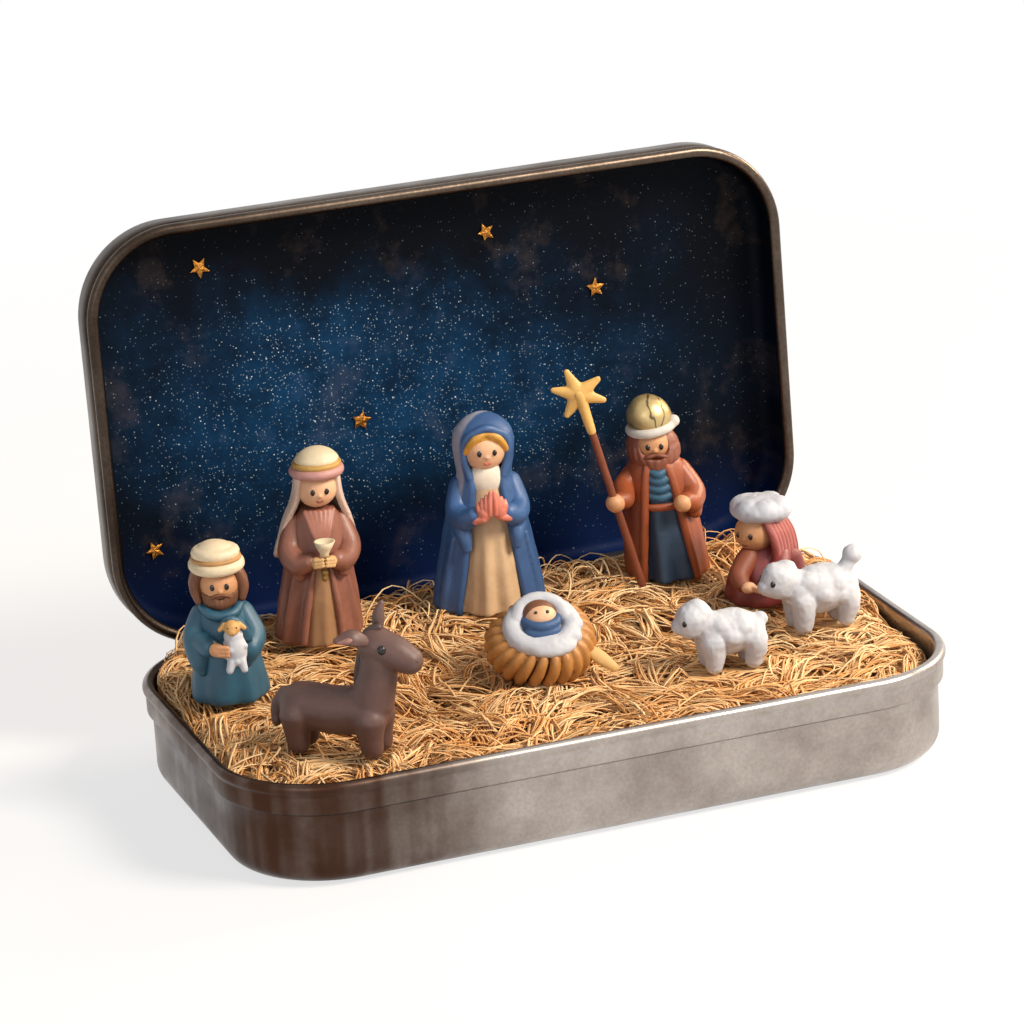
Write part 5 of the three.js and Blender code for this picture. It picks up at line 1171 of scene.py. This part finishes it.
def sheep(key, trunk, trunk_size, head_at, head_size, tail):
    press = group(key)
    (middle, _, rise), (long, wide, tall) = trunk, trunk_size
    x, _, z = head_at
    body = wool((middle, 0, rise - 0.35), (long, wide, tall + 0.3), count=22, lump=1.8, seed=3)
    for leg in (middle + 0.58 * long, middle - 0.62 * long):
        for side in (-1.4, 1.4):
            body.append(limb((leg, side, rise - 1.2, 1.7), (leg, side, 2.4, 1.45),
                    (leg + 0.15, side, 1.25, 1.2)))
    body.append(limb((middle + 0.5 * long, 0, rise + 0.6, 2.0), (x - 0.4, 0, z - 0.3, 1.75)))
    body.append(limb((middle - 0.7 * long, 0, 0.5 * (rise + tail[2]), 1.1), (*tail[:3], 0.9)))
    body.append(egg(tail[:3], (tail[3], tail[3], 0.95 * tail[3])))
    press(f"{key}_body_clay", sculpt(body, soften=8, voxel=0.16, dents=0.2), white_clay, "clay_white",
        f"{key}_body")
    skull = [egg(head_at, head_size), egg((x + 0.6 * head_size[0], 0, z - 0.5), (1.35, 1.3, 1.25))]
    skull.append(egg((x - 0.7, 0, z + 0.6), (1.9, 1.8, 1.85)))
    press(f"{key}_head_clay", sculpt(skull, soften=12, voxel=0.15, dents=0.25), white_clay, "clay_white",
        f"{key}_head")
    beads = [egg((x + 0.6 * head_size[0], s * 1.55, z + 0.1), (0.36, 0.3, 0.42), rows=10, sides=14)
        for s in (-1, 1)]
    press(f"{key}_eyes", joined(*beads), dark_bead)


sheep("front_sheep", (-1.2, 0, 5.2), (4.4, 3.0, 2.9), (3.6, 0, 7.0), (2.3, 2.15, 2.25), (-5.1, 0, 6.0, 1.0))
sheep("rear_sheep", (-0.6, 0, 5.6), (5.1, 3.2, 3.2), (5.1, 0, 7.4), (2.45, 2.3, 2.4), (-5.3, 0, 8.9, 1.3))


# Manger: a tan clay basket with pinched ribs, tipped towards the front. A ring of white padding
# fills its mouth round the child's head and blue wrap, and a flat slat closes its pointed end.
press = group("manger")
BASKET_TIP, RIBS = 34, 23
tip = Matrix.Translation((0, 0.4, 2.3)) @ Matrix.Rotation(math.radians(BASKET_TIP), 4, "X")


def tipped(shape):
    return [tuple(tip @ Vector(v)) for v in shape[0]], shape[1]


def drawn_in(a):
    return math.cos(a) * (1 - 0.13 * max(0.0, math.cos(a)))


basket_rows = ((2.0, 1.6, -1.6), (4.4, 3.6, -1.0), (6.0, 4.85, 0.2), (6.65, 5.35, 1.8), (6.65, 5.35, 3.0),
    (6.0, 4.85, 4.1), (5.0, 4.1, 4.7), (4.0, 3.4, 4.7), (3.0, 2.6, 4.2))
CORE_SHARE, CORE_SIDES = 0.95, 90
core, turns = [], [2 * math.pi * j / CORE_SIDES for j in range(CORE_SIDES)]
for rx, ry, z in basket_rows:
    core.append([(CORE_SHARE * rx * drawn_in(a), CORE_SHARE * ry * math.sin(a), z) for a in turns])
basket_floor = box_shape((-20, -20, -20), (20, 20, 0))
# Painted shade: the dark umber core shows in the gaps between the ribs as the shade in the grooves.
press("manger_core_clay", sculpt([tipped(skin(core))], [basket_floor], 0.15, 2),
    clay("groove_shade_clay", "#4a2a10", "#2a1506"), "clay_basket")
ribs = []
swell = (0.28, 0.46, 0.62, 0.73, 0.72, 0.66, 0.55, 0.44, 0.36)
for i in range(RIBS):
    a = 2 * math.pi * i / RIBS
    knots = []
    for (rx, ry, z), s in zip(basket_rows, swell):
        twist = a + 0.05 * z
        knots.append((rx * drawn_in(twist), ry * math.sin(twist), z, s))
    ribs.append(tipped(limb(*knots, sides=12, steps=4)))
basket_clay = clay("tan_basket_clay", "#b98042", "#4c2a0e", 0.46)
press("manger_basket_clay", sculpt(ribs, [basket_floor], 0.13, 1), basket_clay, "clay_basket",
    "manger_basket")
slat = limb((5.0, -3.0, 3.9, 0.6), (6.6, -3.5, 2.6, 0.95), (8.3, -3.9, 1.2, 0.65), flat=0.55)
press("manger_slat_clay", sculpt([slat], voxel=0.15, soften=3),
    clay("straw_board_clay", "#d3a968", "#8a5f2c"), "clay_basket", "manger_slat")
padding = [tipped(roll((-0.2, 0.4, 5.1), (3.7, 3.3), 1.25)), tipped(egg((0, 0, 4.4), (3.7, 3.2, 1.2))),
    tipped(egg((0.5, -2.7, 5.3), (3.3, 1.7, 1.05)))]
padding.append(tipped(limb((-3.2, 1.4, 5.7, 0.95), (-2.4, 3.0, 6.1, 1.0), (-0.4, 3.7, 6.3, 1.0),
            (1.7, 3.1, 6.1, 1.0), (2.7, 1.4, 5.7, 0.95))))
for i in range(12):
    a = 2 * math.pi * i / 12
    padding.append(tipped(egg(((3.7 + 0.2 * math.sin(3 * i)) * math.cos(a), 0.1 + 3.2 * math.sin(a),
                5.2 + 0.15 * math.cos(5 * i)), (1.25, 1.15, 1.0), rows=10, sides=14)))
press("manger_padding_clay", sculpt(padding, soften=6, voxel=0.16, dents=0.1), white_clay, "clay_white",
    "manger_swaddling")
press("child_head_clay", sculpt([tipped(egg((-0.3, 1.3, 6.1), (2.05, 1.8, 1.6)))], voxel=0.13), peach,
    "clay_peach_skin", "child_head")
crop, brow = egg((-0.4, 1.75, 6.1), (2.13, 1.8, 1.6)), egg((-0.1, -0.1, 7.0), (2.2, 1.95, 1.6))
press("child_hair_clay", sculpt([tipped(crop)], [tipped(brow)], 0.13, 2), hair_brown, "clay_brown_hair")
child_eyes = [egg((-0.2 + 0.72 * s, 0.85, 7.52), (0.23, 0.23, 0.16), rows=8, sides=12) for s in (-1, 1)]
press("child_eyes", joined(*[tipped(bead) for bead in child_eyes]), dark_bead)
wrap = [tipped(egg((-0.3, -0.8, 5.9), (2.3, 1.2, 0.85))),
    tipped(limb((-2.4, 1.1, 5.9, 0.55), (-1.8, -0.2, 6.45, 0.6), (-0.3, -0.8, 6.7, 0.65),
            (1.3, -0.2, 6.45, 0.6), (1.8, 1.1, 5.9, 0.55)))]
press("child_wrap_clay", sculpt(wrap, voxel=0.14, soften=3), clay("denim_clay", "#34547f", "#16253f"),
    "clay_denim", "child_wrap")
